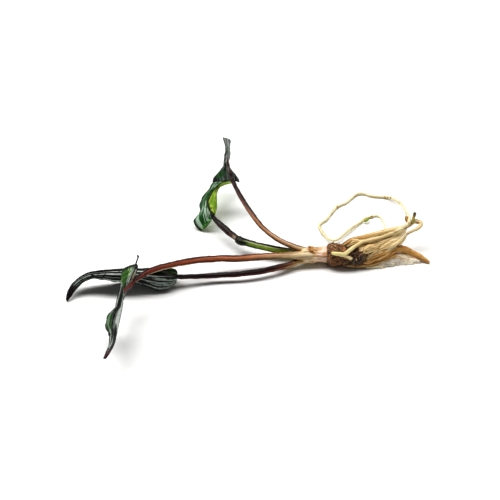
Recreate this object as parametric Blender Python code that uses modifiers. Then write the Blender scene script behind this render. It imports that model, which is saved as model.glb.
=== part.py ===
"""A small cryptocoryne, a rosette water plant, pulled up with bare roots and laid on its side.

The rhizome lies along X with its worn flat underside on the ground and the origin on that flat.
The four leaves point to -X, two of them back to +Y and two forward to -Y, and the roots to +X.
Each leaf is a round stalk and a thin, folded blade. Sizes and places below are in millimetres.
"""

import math

import bmesh
import bpy
import numpy as np

MM = 0.001
# Touching pieces stand this far apart.
GAP = 0.3

BLADE_THICKNESS = 0.6
BLADE_COLUMNS = 7
# Faces that meet at a sharper angle than this, in degrees, are not shaded as one surface.
SHARP_ANGLE = 50

STALK_ROUGHNESS = 0.35
BLADE_ROUGHNESS = 0.3
ROOT_ROUGHNESS = 0.5
CROWN_ROUGHNESS = 0.5
RHIZOME_ROUGHNESS = 0.85

RHIZOME_LEFT = -11.7
RHIZOME_RIGHT = 8.3
RHIZOME_RINGS = 27
RHIZOME_SEGMENTS = 22
RHIZOME_RADIUS = 4.0
# The knobs are scars of old leaves and roots, set in a spiral.
KNOBS = 34
KNOB_MARGIN = 0.8
KNOB_HEIGHT = 0.45
KNOB_SPREAD = 1.5
GOLDEN_ANGLE = math.pi * (3 - math.sqrt(5))

CROWN_LEFT = -20.2
CROWN_RIGHT = RHIZOME_LEFT - GAP
CROWN_RINGS = 13
CROWN_SEGMENTS = 18
COLLAR_PLACE = -18.4
COLLAR_HEIGHT = 0.55
COLLAR_WIDTH = 0.7
COLLAR_TEETH = 5
COLLAR_RAGGEDNESS = 0.25
COLLAR_TURN = 0.7

# Axis and radius along the rhizome: x, y, z, radius.
RHIZOME_AXIS = [
    (RHIZOME_LEFT, 0.4, 3.7, 3.4),
    (-11.0, 0.3, 3.7, 4.0),
    (-9.0, 0.2, 3.7, 4.1),
    (-7.0, 0.2, 3.7, 3.9),
    (-5.0, 0.1, 3.6, 3.6),
    (-3.5, 0.0, 3.5, 3.5),
    (-1.5, 0.0, 3.5, 3.8),
    (0.5, 0.1, 3.6, 3.8),
    (2.5, 0.5, 4.1, 3.4),
    (4.5, 1.0, 4.9, 2.9),
    (6.5, 1.5, 5.8, 2.2),
    (RHIZOME_RIGHT, 1.9, 6.5, 1.4),
]

# Axis and radius along the crown, where the leaf bases wrap each other: x, y, z, radius.
CROWN_AXIS = [
    (CROWN_LEFT, -0.2, 3.9, 2.7),
    (-19.0, -0.1, 3.9, 2.8),
    (-17.0, 0.2, 3.7, 2.9),
    (-14.5, 0.5, 3.6, 2.9),
    (CROWN_RIGHT, 0.6, 3.6, 3.1),
]

# Leaf stalks from the crown to the blade: x, y, z, radius.
BACK_STALK = [
    (-20.8, 1.3, 5.2, 0.9),
    (-24.3, 1.8, 6.6, 1.0),
    (-28.1, 2.5, 8.1, 1.0),
    (-32.2, 4.1, 10.0, 0.95),
    (-36.0, 6.7, 12.2, 0.95),
    (-39.7, 11.0, 14.7, 0.95),
    (-42.8, 16.6, 16.3, 0.9),
    (-45.5, 22.7, 17.4, 0.85),
    (-47.3, 28.0, 18.1, 0.8),
    (-48.4, 32.0, 18.6, 0.65),
]
FRONT_STALK = [
    (-20.8, -1.9, 5.4, 1.1),
    (-25.5, -1.9, 5.2, 1.25),
    (-30.0, -2.0, 5.1, 1.3),
    (-36.8, -2.5, 5.0, 1.3),
    (-44.2, -3.7, 5.3, 1.25),
    (-51.6, -4.6, 6.0, 1.25),
    (-58.9, -6.8, 7.2, 1.2),
    (-66.1, -10.3, 8.7, 1.2),
    (-73.0, -14.3, 10.0, 1.1),
    (-77.6, -18.1, 10.9, 1.05),
    (-81.4, -23.1, 11.6, 0.75),
]
SIDE_STALK = [
    (-20.9, -1.8, 2.5, 1.0),
    (-22.7, -2.4, 2.6, 1.1),
    (-25.5, -4.2, 2.8, 1.15),
    (-29.3, -5.8, 2.9, 1.15),
    (-33.1, -7.3, 3.0, 1.1),
    (-38.5, -8.9, 3.0, 1.05),
    (-44.2, -9.9, 3.0, 1.0),
    (-51.6, -10.5, 3.0, 1.0),
    (-58.9, -11.5, 3.3, 0.95),
    (-63.0, -12.3, 3.9, 0.9),
    (-66.3, -13.2, 4.6, 0.75),
]
# A green sheath wraps the lower half of the folded leaf's stalk and ends in a dark lump.
SHEATH = [
    (-20.8, 2.1, 2.7, 1.05),
    (-25.4, 2.5, 3.5, 1.2),
    (-31.0, 2.8, 4.3, 1.3),
    (-36.7, 4.1, 4.8, 1.3),
    (-41.5, 6.0, 4.9, 1.35),
    (-43.8, 6.8, 4.8, 1.6),
    (-45.0, 7.7, 5.0, 1.5),
    (-45.7, 8.4, 5.2, 1.05),
]
FOLDED_STALK = [
    (-46.1, 8.9, 5.3, 0.9),
    (-47.4, 10.2, 5.4, 1.05),
    (-49.3, 12.4, 5.6, 1.1),
    (-51.9, 15.6, 5.8, 1.05),
    (-54.4, 19.2, 6.2, 0.75),
]

# Blades are rows of five points from the left margin over the midrib to the right margin, seen
# from the stalk, and the rows run from the heart-shaped base to the tip.
BACK_BLADE = [
    [(-55.3, 32.5, 13.8), (-51.6, 31.0, 15.4), (-47.8, 30.2, 16.0),
     (-46.2, 31.0, 15.4), (-44.7, 32.2, 14.0)],
    [(-55.0, 35.5, 13.6), (-52.2, 34.8, 16.4), (-48.8, 34.0, 18.4),
     (-46.8, 34.5, 16.6), (-45.2, 35.1, 13.8)],
    [(-53.3, 36.4, 15.4), (-51.3, 35.9, 17.6), (-49.2, 35.8, 19.0),
     (-47.9, 36.5, 16.6), (-47.1, 37.7, 13.6)],
    [(-51.6, 37.4, 17.4), (-50.6, 38.1, 18.2), (-49.6, 38.7, 18.8),
     (-48.9, 39.8, 16.2), (-48.7, 41.0, 13.2)],
    [(-50.9, 39.1, 19.2), (-50.4, 40.4, 18.8), (-49.9, 42.1, 18.2),
     (-49.6, 43.7, 15.6), (-49.4, 45.1, 13.0)],
    [(-50.5, 41.7, 20.4), (-50.1, 43.5, 19.0), (-49.8, 46.1, 17.2),
     (-49.7, 47.9, 14.8), (-49.7, 49.8, 12.4)],
    [(-50.0, 45.7, 20.4), (-49.7, 48.0, 18.4), (-49.4, 50.7, 16.2),
     (-49.3, 53.1, 13.8), (-49.5, 55.3, 11.4)],
    [(-50.4, 51.8, 18.4), (-50.1, 54.2, 16.4), (-49.9, 56.3, 14.6),
     (-49.6, 58.4, 12.6), (-49.6, 60.0, 10.6)],
    [(-51.1, 59.5, 15.6), (-50.5, 61.6, 13.8), (-50.1, 63.3, 12.2),
     (-49.6, 64.5, 10.8), (-49.4, 65.4, 9.4)],
    [(-51.8, 66.9, 12.2), (-51.1, 68.4, 11.0), (-50.4, 69.5, 10.0),
     (-49.8, 70.2, 9.2), (-49.3, 70.7, 8.4)],
    [(-51.1, 70.8, 8.2), (-50.8, 71.0, 8.0), (-50.5, 71.1, 7.8),
     (-50.3, 71.2, 7.6), (-50.1, 71.3, 7.4)],
]
FOLDED_BLADE = [
    [(-56.0, 18.9, 4.8), (-55.3, 19.3, 5.5), (-54.8, 19.6, 6.2),
     (-54.2, 20.2, 6.9), (-54.3, 20.0, 7.9)],
    [(-58.2, 18.6, 1.8), (-56.8, 19.3, 3.8), (-55.4, 20.6, 6.2),
     (-53.9, 21.2, 7.6), (-55.4, 19.9, 8.9)],
    [(-60.0, 19.0, 0.4), (-57.9, 19.6, 3.8), (-55.7, 22.0, 6.6),
     (-53.7, 22.4, 8.3), (-56.6, 20.4, 9.8)],
    [(-62.3, 22.5, 2.8), (-59.0, 22.0, 5.7), (-55.9, 24.2, 7.2),
     (-53.6, 24.0, 9.0), (-57.2, 21.9, 10.5)],
    [(-61.0, 25.2, 4.8), (-58.7, 25.9, 6.9), (-56.0, 27.0, 7.8),
     (-53.7, 26.2, 9.7), (-57.4, 24.0, 11.0)],
    [(-60.5, 28.7, 6.6), (-58.4, 29.1, 7.9), (-55.8, 30.5, 8.3),
     (-53.8, 29.0, 10.1), (-56.5, 27.0, 11.3)],
    [(-58.6, 32.4, 7.8), (-56.9, 32.6, 8.5), (-54.9, 33.6, 8.6),
     (-53.4, 32.2, 10.2), (-55.3, 30.4, 11.3)],
    [(-56.8, 36.3, 8.4), (-55.1, 35.9, 8.8), (-53.6, 36.4, 8.5),
     (-52.4, 35.3, 9.7), (-54.0, 34.2, 10.8)],
    [(-55.0, 40.5, 8.2), (-53.5, 39.6, 8.5), (-51.9, 39.4, 7.9),
     (-50.8, 38.5, 8.4), (-52.1, 38.4, 9.9)],
    [(-52.0, 44.2, 7.2), (-50.8, 43.2, 7.4), (-49.7, 42.5, 6.8),
     (-48.9, 41.7, 6.6), (-49.8, 41.6, 8.2)],
    [(-48.6, 46.6, 4.8), (-48.2, 46.2, 4.9), (-47.9, 45.9, 4.5),
     (-47.6, 45.4, 4.2), (-47.8, 44.9, 4.9)],
]
FRONT_BLADE = [
    [(-81.5, -22.6, 13.4), (-81.7, -23.5, 12.7), (-82.0, -24.3, 12.1),
     (-82.5, -24.3, 11.1), (-82.7, -24.1, 10.0)],
    [(-80.1, -21.5, 15.1), (-81.4, -24.0, 13.9), (-83.0, -26.9, 12.4),
     (-83.5, -26.4, 10.3), (-83.9, -25.8, 8.6)],
    [(-80.6, -19.7, 16.4), (-82.2, -23.7, 14.8), (-83.7, -28.4, 12.6),
     (-84.3, -28.4, 9.9), (-84.8, -28.2, 7.7)],
    [(-85.2, -22.0, 16.2), (-84.9, -25.8, 14.8), (-84.3, -30.0, 12.8),
     (-84.9, -30.5, 9.8), (-85.7, -30.8, 7.1)],
    [(-85.4, -26.0, 14.3), (-85.0, -29.0, 13.7), (-84.2, -32.3, 12.9),
     (-84.9, -33.1, 9.9), (-85.8, -33.6, 6.8)],
    [(-86.2, -29.8, 12.3), (-85.3, -32.7, 12.9), (-84.1, -35.7, 13.0),
     (-84.8, -36.4, 9.8), (-86.0, -36.8, 6.5)],
    [(-87.1, -34.3, 10.4), (-85.7, -36.9, 12.0), (-84.2, -39.3, 12.9),
     (-85.0, -40.0, 9.7), (-86.2, -40.6, 6.4)],
    [(-89.5, -37.6, 8.4), (-86.9, -40.5, 11.2), (-84.4, -43.0, 12.7),
     (-85.3, -43.7, 9.5), (-86.5, -44.2, 6.4)],
    [(-90.1, -41.4, 7.6), (-87.2, -44.1, 10.6), (-84.6, -46.5, 12.4),
     (-85.6, -47.1, 9.5), (-86.8, -47.5, 6.8)],
    [(-88.4, -46.4, 8.5), (-86.5, -48.3, 10.6), (-84.8, -49.7, 11.8),
     (-85.7, -50.2, 9.6), (-86.8, -50.5, 7.5)],
    [(-87.3, -51.7, 9.6), (-86.4, -52.6, 10.6), (-85.2, -53.2, 11.0),
     (-85.9, -53.6, 9.6), (-86.7, -53.6, 8.2)],
    [(-87.8, -55.4, 9.6), (-87.2, -56.0, 10.0), (-86.5, -56.5, 10.2),
     (-86.7, -56.6, 9.5), (-87.3, -56.6, 8.7)],
    [(-88.5, -58.6, 9.2), (-88.3, -58.8, 9.3), (-88.0, -58.9, 9.3),
     (-87.8, -58.7, 9.1), (-87.6, -58.3, 8.9)],
]
SIDE_BLADE = [
    [(-67.4, -15.0, 3.3), (-67.1, -14.3, 4.2), (-66.8, -13.6, 4.8),
     (-67.0, -12.5, 5.2), (-67.5, -11.6, 5.3)],
    [(-68.8, -15.7, 2.3), (-68.2, -14.8, 4.1), (-67.9, -13.6, 5.4),
     (-67.8, -11.4, 6.0), (-68.5, -9.2, 4.6)],
    [(-71.0, -16.6, 1.5), (-69.9, -15.7, 4.4), (-69.5, -14.4, 6.1),
     (-69.8, -11.0, 6.5), (-70.9, -8.2, 3.6)],
    [(-74.2, -17.3, 1.4), (-72.9, -16.3, 5.0), (-72.4, -15.0, 6.9),
     (-73.3, -11.2, 7.0), (-74.4, -7.4, 2.6)],
    [(-77.2, -17.0, 2.8), (-76.3, -16.4, 5.8), (-75.9, -15.6, 7.8),
     (-76.8, -12.3, 7.8), (-77.8, -7.6, 2.2)],
    [(-80.8, -16.9, 4.4), (-80.1, -16.6, 6.8), (-79.8, -16.0, 8.5),
     (-80.6, -13.4, 8.6), (-81.4, -8.4, 2.2)],
    [(-85.0, -17.4, 5.6), (-84.5, -17.4, 7.7), (-84.4, -16.6, 9.1),
     (-85.0, -14.2, 9.4), (-85.6, -9.5, 2.6)],
    [(-89.8, -17.5, 6.2), (-89.3, -17.5, 8.0), (-89.3, -16.8, 9.3),
     (-90.0, -15.0, 9.6), (-90.6, -10.6, 3.0)],
    [(-94.0, -16.8, 6.5), (-93.7, -16.7, 7.9), (-93.8, -16.4, 8.9),
     (-94.6, -15.3, 9.3), (-95.3, -11.5, 3.4)],
    [(-97.8, -16.2, 6.2), (-97.9, -16.1, 7.2), (-98.1, -15.9, 7.9),
     (-98.9, -15.1, 8.2), (-99.6, -12.3, 3.8)],
    [(-100.8, -16.6, 4.9), (-101.1, -16.4, 5.6), (-101.5, -16.1, 6.2),
     (-102.1, -15.4, 6.3), (-102.9, -13.4, 3.6)],
    [(-103.4, -18.5, 3.1), (-103.9, -18.2, 3.8), (-104.4, -17.8, 4.2),
     (-105.0, -17.0, 4.3), (-105.6, -15.8, 2.8)],
    [(-105.2, -20.4, 1.5), (-105.6, -20.1, 2.0), (-106.0, -19.8, 2.3),
     (-106.4, -19.5, 2.4), (-106.7, -19.0, 2.2)],
    [(-106.4, -22.0, 0.35), (-106.6, -21.8, 0.45), (-106.8, -21.6, 0.5),
     (-107.0, -21.4, 0.6), (-107.1, -21.2, 0.6)],
]

# Roots from the rhizome outward: x, y, z, radius.
# The upper root reaches the knot, loops round it and drops onto the thick root.
UPPER_ROOT = [
    (-4.2, 2.6, 7.4, 0.6),
    (-2.0, 3.7, 8.2, 0.95),
    (0.8, 3.4, 9.2, 1.05),
    (4.6, 4.1, 9.9, 1.05),
    (8.8, 5.4, 10.2, 1.05),
    (13.4, 7.3, 10.2, 1.0),
    (17.2, 9.1, 9.7, 0.9),
    (19.8, 11.0, 9.2, 0.8),
    (22.0, 12.4, 9.7, 0.8),
    (24.2, 12.5, 9.9, 0.75),
    (25.2, 11.5, 9.3, 0.6),
    (24.3, 10.0, 8.5, 0.5),
    (22.0, 8.6, 7.9, 0.45),
    (20.0, 7.4, 7.4, 0.45),
    (18.7, 6.2, 7.0, 0.45),
    (17.4, 4.5, 6.7, 0.4),
    (16.2, 3.1, 6.6, 0.35),
]
# The long root lies over the rhizome, passes the knot and runs back in a wide bend on the ground.
LONG_ROOT = [
    (-10.3, -3.4, 7.7, 0.55),
    (-8.0, -3.7, 7.5, 0.75),
    (-5.4, -3.7, 7.2, 0.8),
    (-3.4, -2.2, 8.0, 0.75),
    (-1.1, -0.6, 9.0, 0.75),
    (2.0, 1.1, 9.6, 0.75),
    (6.0, 1.9, 10.2, 0.75),
    (10.0, 3.4, 10.5, 0.75),
    (14.2, 5.3, 11.0, 0.7),
    (18.0, 8.0, 11.5, 0.65),
    (19.8, 10.4, 11.5, 0.6),
    (20.3, 14.4, 10.6, 0.6),
    (20.4, 19.5, 8.9, 0.55),
    (20.2, 26.5, 6.4, 0.55),
    (19.5, 33.0, 3.8, 0.55),
    (17.9, 38.2, 1.6, 0.55),
    (15.3, 40.6, 0.7, 0.55),
    (11.7, 40.9, 0.6, 0.5),
    (8.9, 41.6, 0.6, 0.5),
    (6.1, 42.9, 0.6, 0.5),
    (3.6, 42.5, 0.6, 0.55),
    (0.9, 39.6, 0.6, 0.5),
    (-1.4, 36.8, 0.6, 0.5),
    (-5.2, 34.0, 0.6, 0.5),
    (-7.9, 29.6, 0.6, 0.5),
    (-10.2, 25.6, 0.6, 0.5),
    (-12.5, 23.2, 0.7, 0.5),
    (-13.2, 21.1, 0.8, 0.55),
    (-12.1, 17.0, 1.1, 0.55),
    (-10.4, 13.2, 1.4, 0.5),
    (-8.4, 11.4, 1.5, 0.5),
    (-6.2, 12.5, 1.5, 0.5),
    (-3.4, 16.2, 1.3, 0.5),
    (-0.4, 19.5, 1.1, 0.5),
    (2.7, 23.1, 0.8, 0.45),
    (5.2, 26.0, 0.7, 0.5),
    (7.5, 27.4, 0.6, 0.4),
    (10.0, 28.3, 0.5, 0.4),
    (11.9, 27.0, 0.5, 0.35),
    (12.6, 24.0, 0.5, 0.3),
    (12.8, 21.0, 0.5, 0.3),
    (13.0, 18.6, 0.5, 0.25),
]
MIDDLE_ROOT = [
    (9.0, 1.9, 7.1, 0.95),
    (11.6, 2.9, 8.0, 1.0),
    (14.2, 4.5, 8.6, 0.95),
    (17.0, 6.7, 8.8, 0.7),
    (18.8, 8.4, 8.8, 0.35),
]
LOWER_MIDDLE_ROOT = [
    (9.0, 0.2, 6.3, 0.5),
    (12.7, 0.9, 7.2, 0.6),
    (15.0, 2.4, 7.9, 0.6),
    (17.4, 5.1, 8.1, 0.5),
    (18.5, 6.8, 8.2, 0.35),
]
THICK_ROOT = [
    (4.3, -2.1, 1.3, 0.85),
    (6.8, -1.1, 2.3, 1.2),
    (9.2, -0.2, 3.3, 1.5),
    (11.4, 1.2, 4.2, 1.8),
    (13.6, 2.4, 4.7, 1.75),
    (16.0, 3.0, 4.5, 1.45),
    (18.6, 3.0, 3.7, 1.3),
    (21.3, 2.4, 2.7, 1.15),
    (24.2, 1.2, 1.7, 0.95),
    (26.2, 0.2, 1.0, 0.7),
    (27.5, -0.6, 0.6, 0.45),
]
LOW_ROOT = [
    (3.2, -3.4, 0.6, 0.35),
    (6.0, -3.1, 0.6, 0.5),
    (9.5, -2.2, 0.6, 0.5),
    (13.0, -0.7, 0.6, 0.45),
    (16.5, 1.0, 0.5, 0.35),
]
DARK_ROOT_STUB = [
    (21.6, 12.0, 11.0, 0.4),
    (22.0, 13.0, 12.1, 0.5),
    (22.5, 14.1, 13.3, 0.55),
]
BROWN_ROOT_STUB = [
    (17.7, 10.5, 10.7, 0.35),
    (17.8, 11.9, 11.5, 0.45),
    (17.5, 13.2, 12.3, 0.4),
]
ROOT_BUD = [
    (-4.3, -3.9, 6.0, 0.4),
    (-3.2, -4.2, 5.8, 0.65),
    (-2.4, -4.3, 6.0, 0.4),
]


def surface(name, colour, roughness):
    """A Principled material of one colour."""
    material = bpy.data.materials.new(name)
    material.use_nodes = True
    shader = material.node_tree.nodes["Principled BSDF"]
    shader.inputs["Base Color"].default_value = (*colour, 1.0)
    shader.inputs["Roughness"].default_value = roughness
    shader.inputs["Metallic"].default_value = 0.0
    return material


def smooth(points, count):
    """That many rows of numbers along a smooth curve that passes through every row of points."""
    points = np.asarray(points, float)
    before = 2 * points[:1] - points[1:2]
    after = 2 * points[-1:] - points[-2:-1]
    padded = np.concatenate([before, points, after])
    along = np.linspace(0, len(points) - 1, count)
    start = np.minimum(along.astype(int), len(points) - 2)
    t = (along - start).reshape((-1,) + (1,) * (points.ndim - 1))
    a, b, c, d = (padded[start + k] for k in range(4))
    return 0.5 * (2 * b + (c - a) * t + (2 * a - 5 * b + 4 * c - d) * t**2 + (3 * b - 3 * c + d - a) * t**3)


def add(name, data, material, collection):
    """A new object with that name, data and material."""
    thing = bpy.data.objects.new(name, data)
    thing.data.materials.append(material)
    collection.objects.link(thing)
    return thing


def tube(name, route, count, material, collection):
    """A round tube of eight sides along a smooth curve, with its own radius at each point."""
    curve = bpy.data.curves.new(name, "CURVE")
    curve.dimensions = "3D"
    curve.fill_mode = "FULL"
    curve.bevel_depth = MM
    curve.bevel_resolution = 2
    curve.use_fill_caps = True
    line = curve.splines.new("POLY")
    samples = smooth(route, count)
    line.points.add(count - 1)
    for point, (x, y, z, radius) in zip(line.points, samples):
        point.co = (x * MM, y * MM, z * MM, 1.0)
        point.radius = radius
    line.use_smooth = True
    return add(name, curve, material, collection)


def blade(name, rows, count, material, collection):
    """A thin leaf blade: an open sheet through the rows of points, given its thickness."""
    sheet = smooth([smooth(row, BLADE_COLUMNS) for row in rows], count) * MM
    corners = [tuple(point) for row in sheet for point in row]
    faces = []
    for first in range(0, (count - 1) * BLADE_COLUMNS, BLADE_COLUMNS):
        for k in range(first, first + BLADE_COLUMNS - 1):
            faces.append((k, k + 1, k + 1 + BLADE_COLUMNS, k + BLADE_COLUMNS))
    mesh = bpy.data.meshes.new(name)
    mesh.from_pydata(corners, [], faces)
    mesh.shade_smooth()
    leaf = add(name, mesh, material, collection)
    thick = leaf.modifiers.new("thickness", "SOLIDIFY")
    thick.thickness = BLADE_THICKNESS * MM
    thick.offset = 0.0
    return leaf


def lofted(axis, rings, segments, proud):
    """A closed body of rings across the X axis, where proud(x, turn) is added to the radius."""
    body = bmesh.new()
    loops = []
    for x, y, z, radius in smooth(axis, rings):
        loop = []
        for k in range(segments):
            turn = 2 * math.pi * k / segments
            reach = radius + proud(x, turn)
            place = (x * MM, (y + reach * math.cos(turn)) * MM, (z + reach * math.sin(turn)) * MM)
            loop.append(body.verts.new(place))
        loops.append(loop)
    for low, high in zip(loops, loops[1:]):
        for k in range(segments):
            after = (k + 1) % segments
            body.faces.new((low[k], low[after], high[after], high[k]))
    body.faces.new(loops[0])
    body.faces.new(loops[-1])
    return body


def grounded(name, body, material, collection):
    """The object of a closed body, cut off flat at the ground, with its faces pointing out."""
    cut = bmesh.ops.bisect_plane(
        body,
        geom=body.verts[:] + body.edges[:] + body.faces[:],
        dist=1e-7,
        plane_co=(0, 0, 0),
        plane_no=(0, 0, -1),
        clear_outer=True,
    )
    rim = [part for part in cut["geom_cut"] if isinstance(part, bmesh.types.BMEdge)]
    if rim:
        bmesh.ops.contextual_create(body, geom=rim)
    bmesh.ops.recalc_face_normals(body, faces=body.faces[:])
    mesh = bpy.data.meshes.new(name)
    body.to_mesh(mesh)
    body.free()
    mesh.shade_smooth()
    mesh.set_sharp_from_angle(angle=math.radians(SHARP_ANGLE))
    return add(name, mesh, material, collection)


def knobs(x, turn):
    """How far the root scars stand out of the rhizome: bumps set in a spiral along it."""
    height = 0.0
    length = RHIZOME_RIGHT - RHIZOME_LEFT
    for k in range(KNOBS):
        knob_x = RHIZOME_LEFT + KNOB_MARGIN + (length - 2 * KNOB_MARGIN) * k / (KNOBS - 1)
        apart = (turn - k * GOLDEN_ANGLE + math.pi) % (2 * math.pi) - math.pi
        distance = math.hypot(x - knob_x, RHIZOME_RADIUS * apart)
        height = max(height, KNOB_HEIGHT * math.exp(-((distance / KNOB_SPREAD) ** 2)))
    return height


def collar(x, turn):
    """The torn rim of an old leaf base round the crown: a ledge with a ragged edge."""
    ragged = 1 - COLLAR_RAGGEDNESS + COLLAR_RAGGEDNESS * math.sin(COLLAR_TEETH * turn + COLLAR_TURN)
    return COLLAR_HEIGHT * ragged * math.exp(-(((x - COLLAR_PLACE) / COLLAR_WIDTH) ** 2))


def build_rhizome(collection):
    skin = surface("rhizome_skin", (0.07, 0.03, 0.015), RHIZOME_ROUGHNESS)
    body = lofted(RHIZOME_AXIS, RHIZOME_RINGS, RHIZOME_SEGMENTS, knobs)
    grounded("rhizome", body, skin, collection)


def build_crown(collection):
    skin = surface("crown_skin", (0.8, 0.6, 0.47), CROWN_ROUGHNESS)
    body = lofted(CROWN_AXIS, CROWN_RINGS, CROWN_SEGMENTS, collar)
    grounded("crown", body, skin, collection)


def build_stalks(collection):
    stalks = (
        ("back_leaf_stalk", BACK_STALK, 19, (0.25, 0.09, 0.05)),
        ("front_leaf_stalk", FRONT_STALK, 21, (0.3, 0.07, 0.03)),
        ("side_leaf_stalk", SIDE_STALK, 19, (0.05, 0.012, 0.012)),
        ("folded_leaf_sheath", SHEATH, 15, (0.16, 0.28, 0.04)),
        ("folded_leaf_stalk", FOLDED_STALK, 9, (0.05, 0.015, 0.013)),
    )
    for name, route, count, colour in stalks:
        tube(name, route, count, surface(name + "_skin", colour, STALK_ROUGHNESS), collection)


def build_blades(collection):
    blades = (
        ("back_leaf_blade", BACK_BLADE, 19, (0.02, 0.05, 0.02)),
        ("folded_leaf_blade", FOLDED_BLADE, 19, (0.08, 0.2, 0.04)),
        ("front_leaf_blade", FRONT_BLADE, 21, (0.04, 0.08, 0.05)),
        ("side_leaf_blade", SIDE_BLADE, 21, (0.02, 0.04, 0.03)),
    )
    for name, rows, count, colour in blades:
        blade(name, rows, count, surface(name + "_skin", colour, BLADE_ROUGHNESS), collection)


def build_roots(collection):
    pale = (0.72, 0.58, 0.32)
    tan = (0.62, 0.4, 0.2)
    roots = (
        ("upper_root", UPPER_ROOT, 42, tan),
        ("long_root", LONG_ROOT, 82, pale),
        ("middle_root", MIDDLE_ROOT, 10, tan),
        ("lower_middle_root", LOWER_MIDDLE_ROOT, 10, tan),
        ("thick_root", THICK_ROOT, 21, (0.45, 0.22, 0.06)),
        ("low_root", LOW_ROOT, 10, pale),
        ("dark_root_stub", DARK_ROOT_STUB, 5, (0.16, 0.13, 0.02)),
        ("brown_root_stub", BROWN_ROOT_STUB, 5, (0.35, 0.2, 0.06)),
        ("root_bud", ROOT_BUD, 7, (0.6, 0.38, 0.15)),
    )
    for name, route, count, colour in roots:
        tube(name, route, count, surface(name + "_skin", colour, ROOT_ROUGHNESS), collection)


def build():
    for thing in list(bpy.data.objects):
        bpy.data.objects.remove(thing, do_unlink=True)
    plant = bpy.data.collections.new("cryptocoryne")
    bpy.context.scene.collection.children.link(plant)
    build_rhizome(plant)
    build_crown(plant)
    build_stalks(plant)
    build_blades(plant)
    build_roots(plant)


build()
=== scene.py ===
"""A small cryptocoryne pulled up with bare roots and laid on its side, with its finished surfaces.

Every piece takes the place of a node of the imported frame, or grows on one. The tables of points
are in millimetres in the frame's own axes: the rhizome lies along X, the leaves point to -X, the
roots to +X, and the ground is at z = 0.
"""

import math
import random

import bpy
import numpy as np
from mathutils import Matrix, Vector, noise


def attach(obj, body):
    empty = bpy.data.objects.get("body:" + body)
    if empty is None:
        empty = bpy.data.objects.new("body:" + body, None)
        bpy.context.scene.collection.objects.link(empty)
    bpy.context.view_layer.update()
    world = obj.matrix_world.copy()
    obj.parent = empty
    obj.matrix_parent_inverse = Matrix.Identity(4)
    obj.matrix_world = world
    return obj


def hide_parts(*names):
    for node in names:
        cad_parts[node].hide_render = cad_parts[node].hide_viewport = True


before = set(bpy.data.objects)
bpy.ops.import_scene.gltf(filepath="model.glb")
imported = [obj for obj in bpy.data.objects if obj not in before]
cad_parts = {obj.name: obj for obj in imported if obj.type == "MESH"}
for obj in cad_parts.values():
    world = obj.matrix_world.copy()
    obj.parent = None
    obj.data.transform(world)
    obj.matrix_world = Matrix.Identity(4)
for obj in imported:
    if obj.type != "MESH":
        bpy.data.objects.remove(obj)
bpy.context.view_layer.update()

MM = 0.001
BODY = "root"
TAU = 2 * math.pi

CAMERA_ELEVATION = math.radians(40.0)
CAMERA_LENS = 70.0
CAMERA_SENSOR = 36.0
CAMERA_DISTANCE = 0.3743
CAMERA_TARGET = (-0.0405, 0.0075, 0.0)
LIGHT_AIM = (-0.035, 0.0, 0.0)
FLOOR_REACH = 2.5
FLOOR_DROP = 0.00002
FLOOR_COLOUR = (0.90, 0.90, 0.89, 1.0)
# Up and to the back, the side of a stalk that its colours are told from. The colours told by it are partly
# the stalk's own and partly painted light: painted shade along a stalk's upper and lower edges and a painted
# highlight line along it.
UP_BACK = (0.0, 0.643, 0.766)

RHIZOME_LEFT = -11.7
RHIZOME_RIGHT = 8.3
RHIZOME_RADIUS = 4.0
KNOBS = 34
KNOB_MARGIN = 0.8
KNOB_HEIGHT = 0.45
KNOB_SPREAD = 1.5
GOLDEN_ANGLE = math.pi * (3 - math.sqrt(5))
# Creases across the rhizome: place, width, depth.
BARK_CREASES = ((-3.7, 0.45, 0.55), (-8.6, 0.3, 0.25), (-6.2, 0.3, 0.25), (-10.4, 0.25, 0.2))
HAIRS = 330
SCARS = 60
HUSKS = 95
RHIZOME_AXIS = [
    (RHIZOME_LEFT, 0.4, 3.7, 3.4), (-11.0, 0.3, 3.7, 4.0), (-9.0, 0.2, 3.7, 4.1), (-7.0, 0.2, 3.7, 3.9),
    (-5.0, 0.1, 3.6, 3.6), (-3.5, 0.0, 3.5, 3.5), (-1.5, 0.0, 3.5, 3.8), (0.5, 0.1, 3.6, 3.8),
    (2.5, 0.5, 4.1, 3.4), (4.5, 1.0, 4.9, 2.9), (6.5, 1.5, 5.8, 2.2), (RHIZOME_RIGHT, 1.9, 6.5, 1.4),
]

THREADS = 16
SLITS = 22
CROWN_LEFT = -20.2
CROWN_RIGHT = -11.9
CROWN_AXIS = [
    (-21.6, -0.3, 4.0, 2.2), (CROWN_LEFT, -0.2, 4.0, 2.7), (-19.0, -0.1, 3.9, 2.8), (-17.0, 0.2, 3.7, 2.9),
    (-14.5, 0.5, 3.6, 2.9), (CROWN_RIGHT, 0.6, 3.6, 3.1), (-10.6, 0.5, 3.6, 2.9),
]

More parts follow.
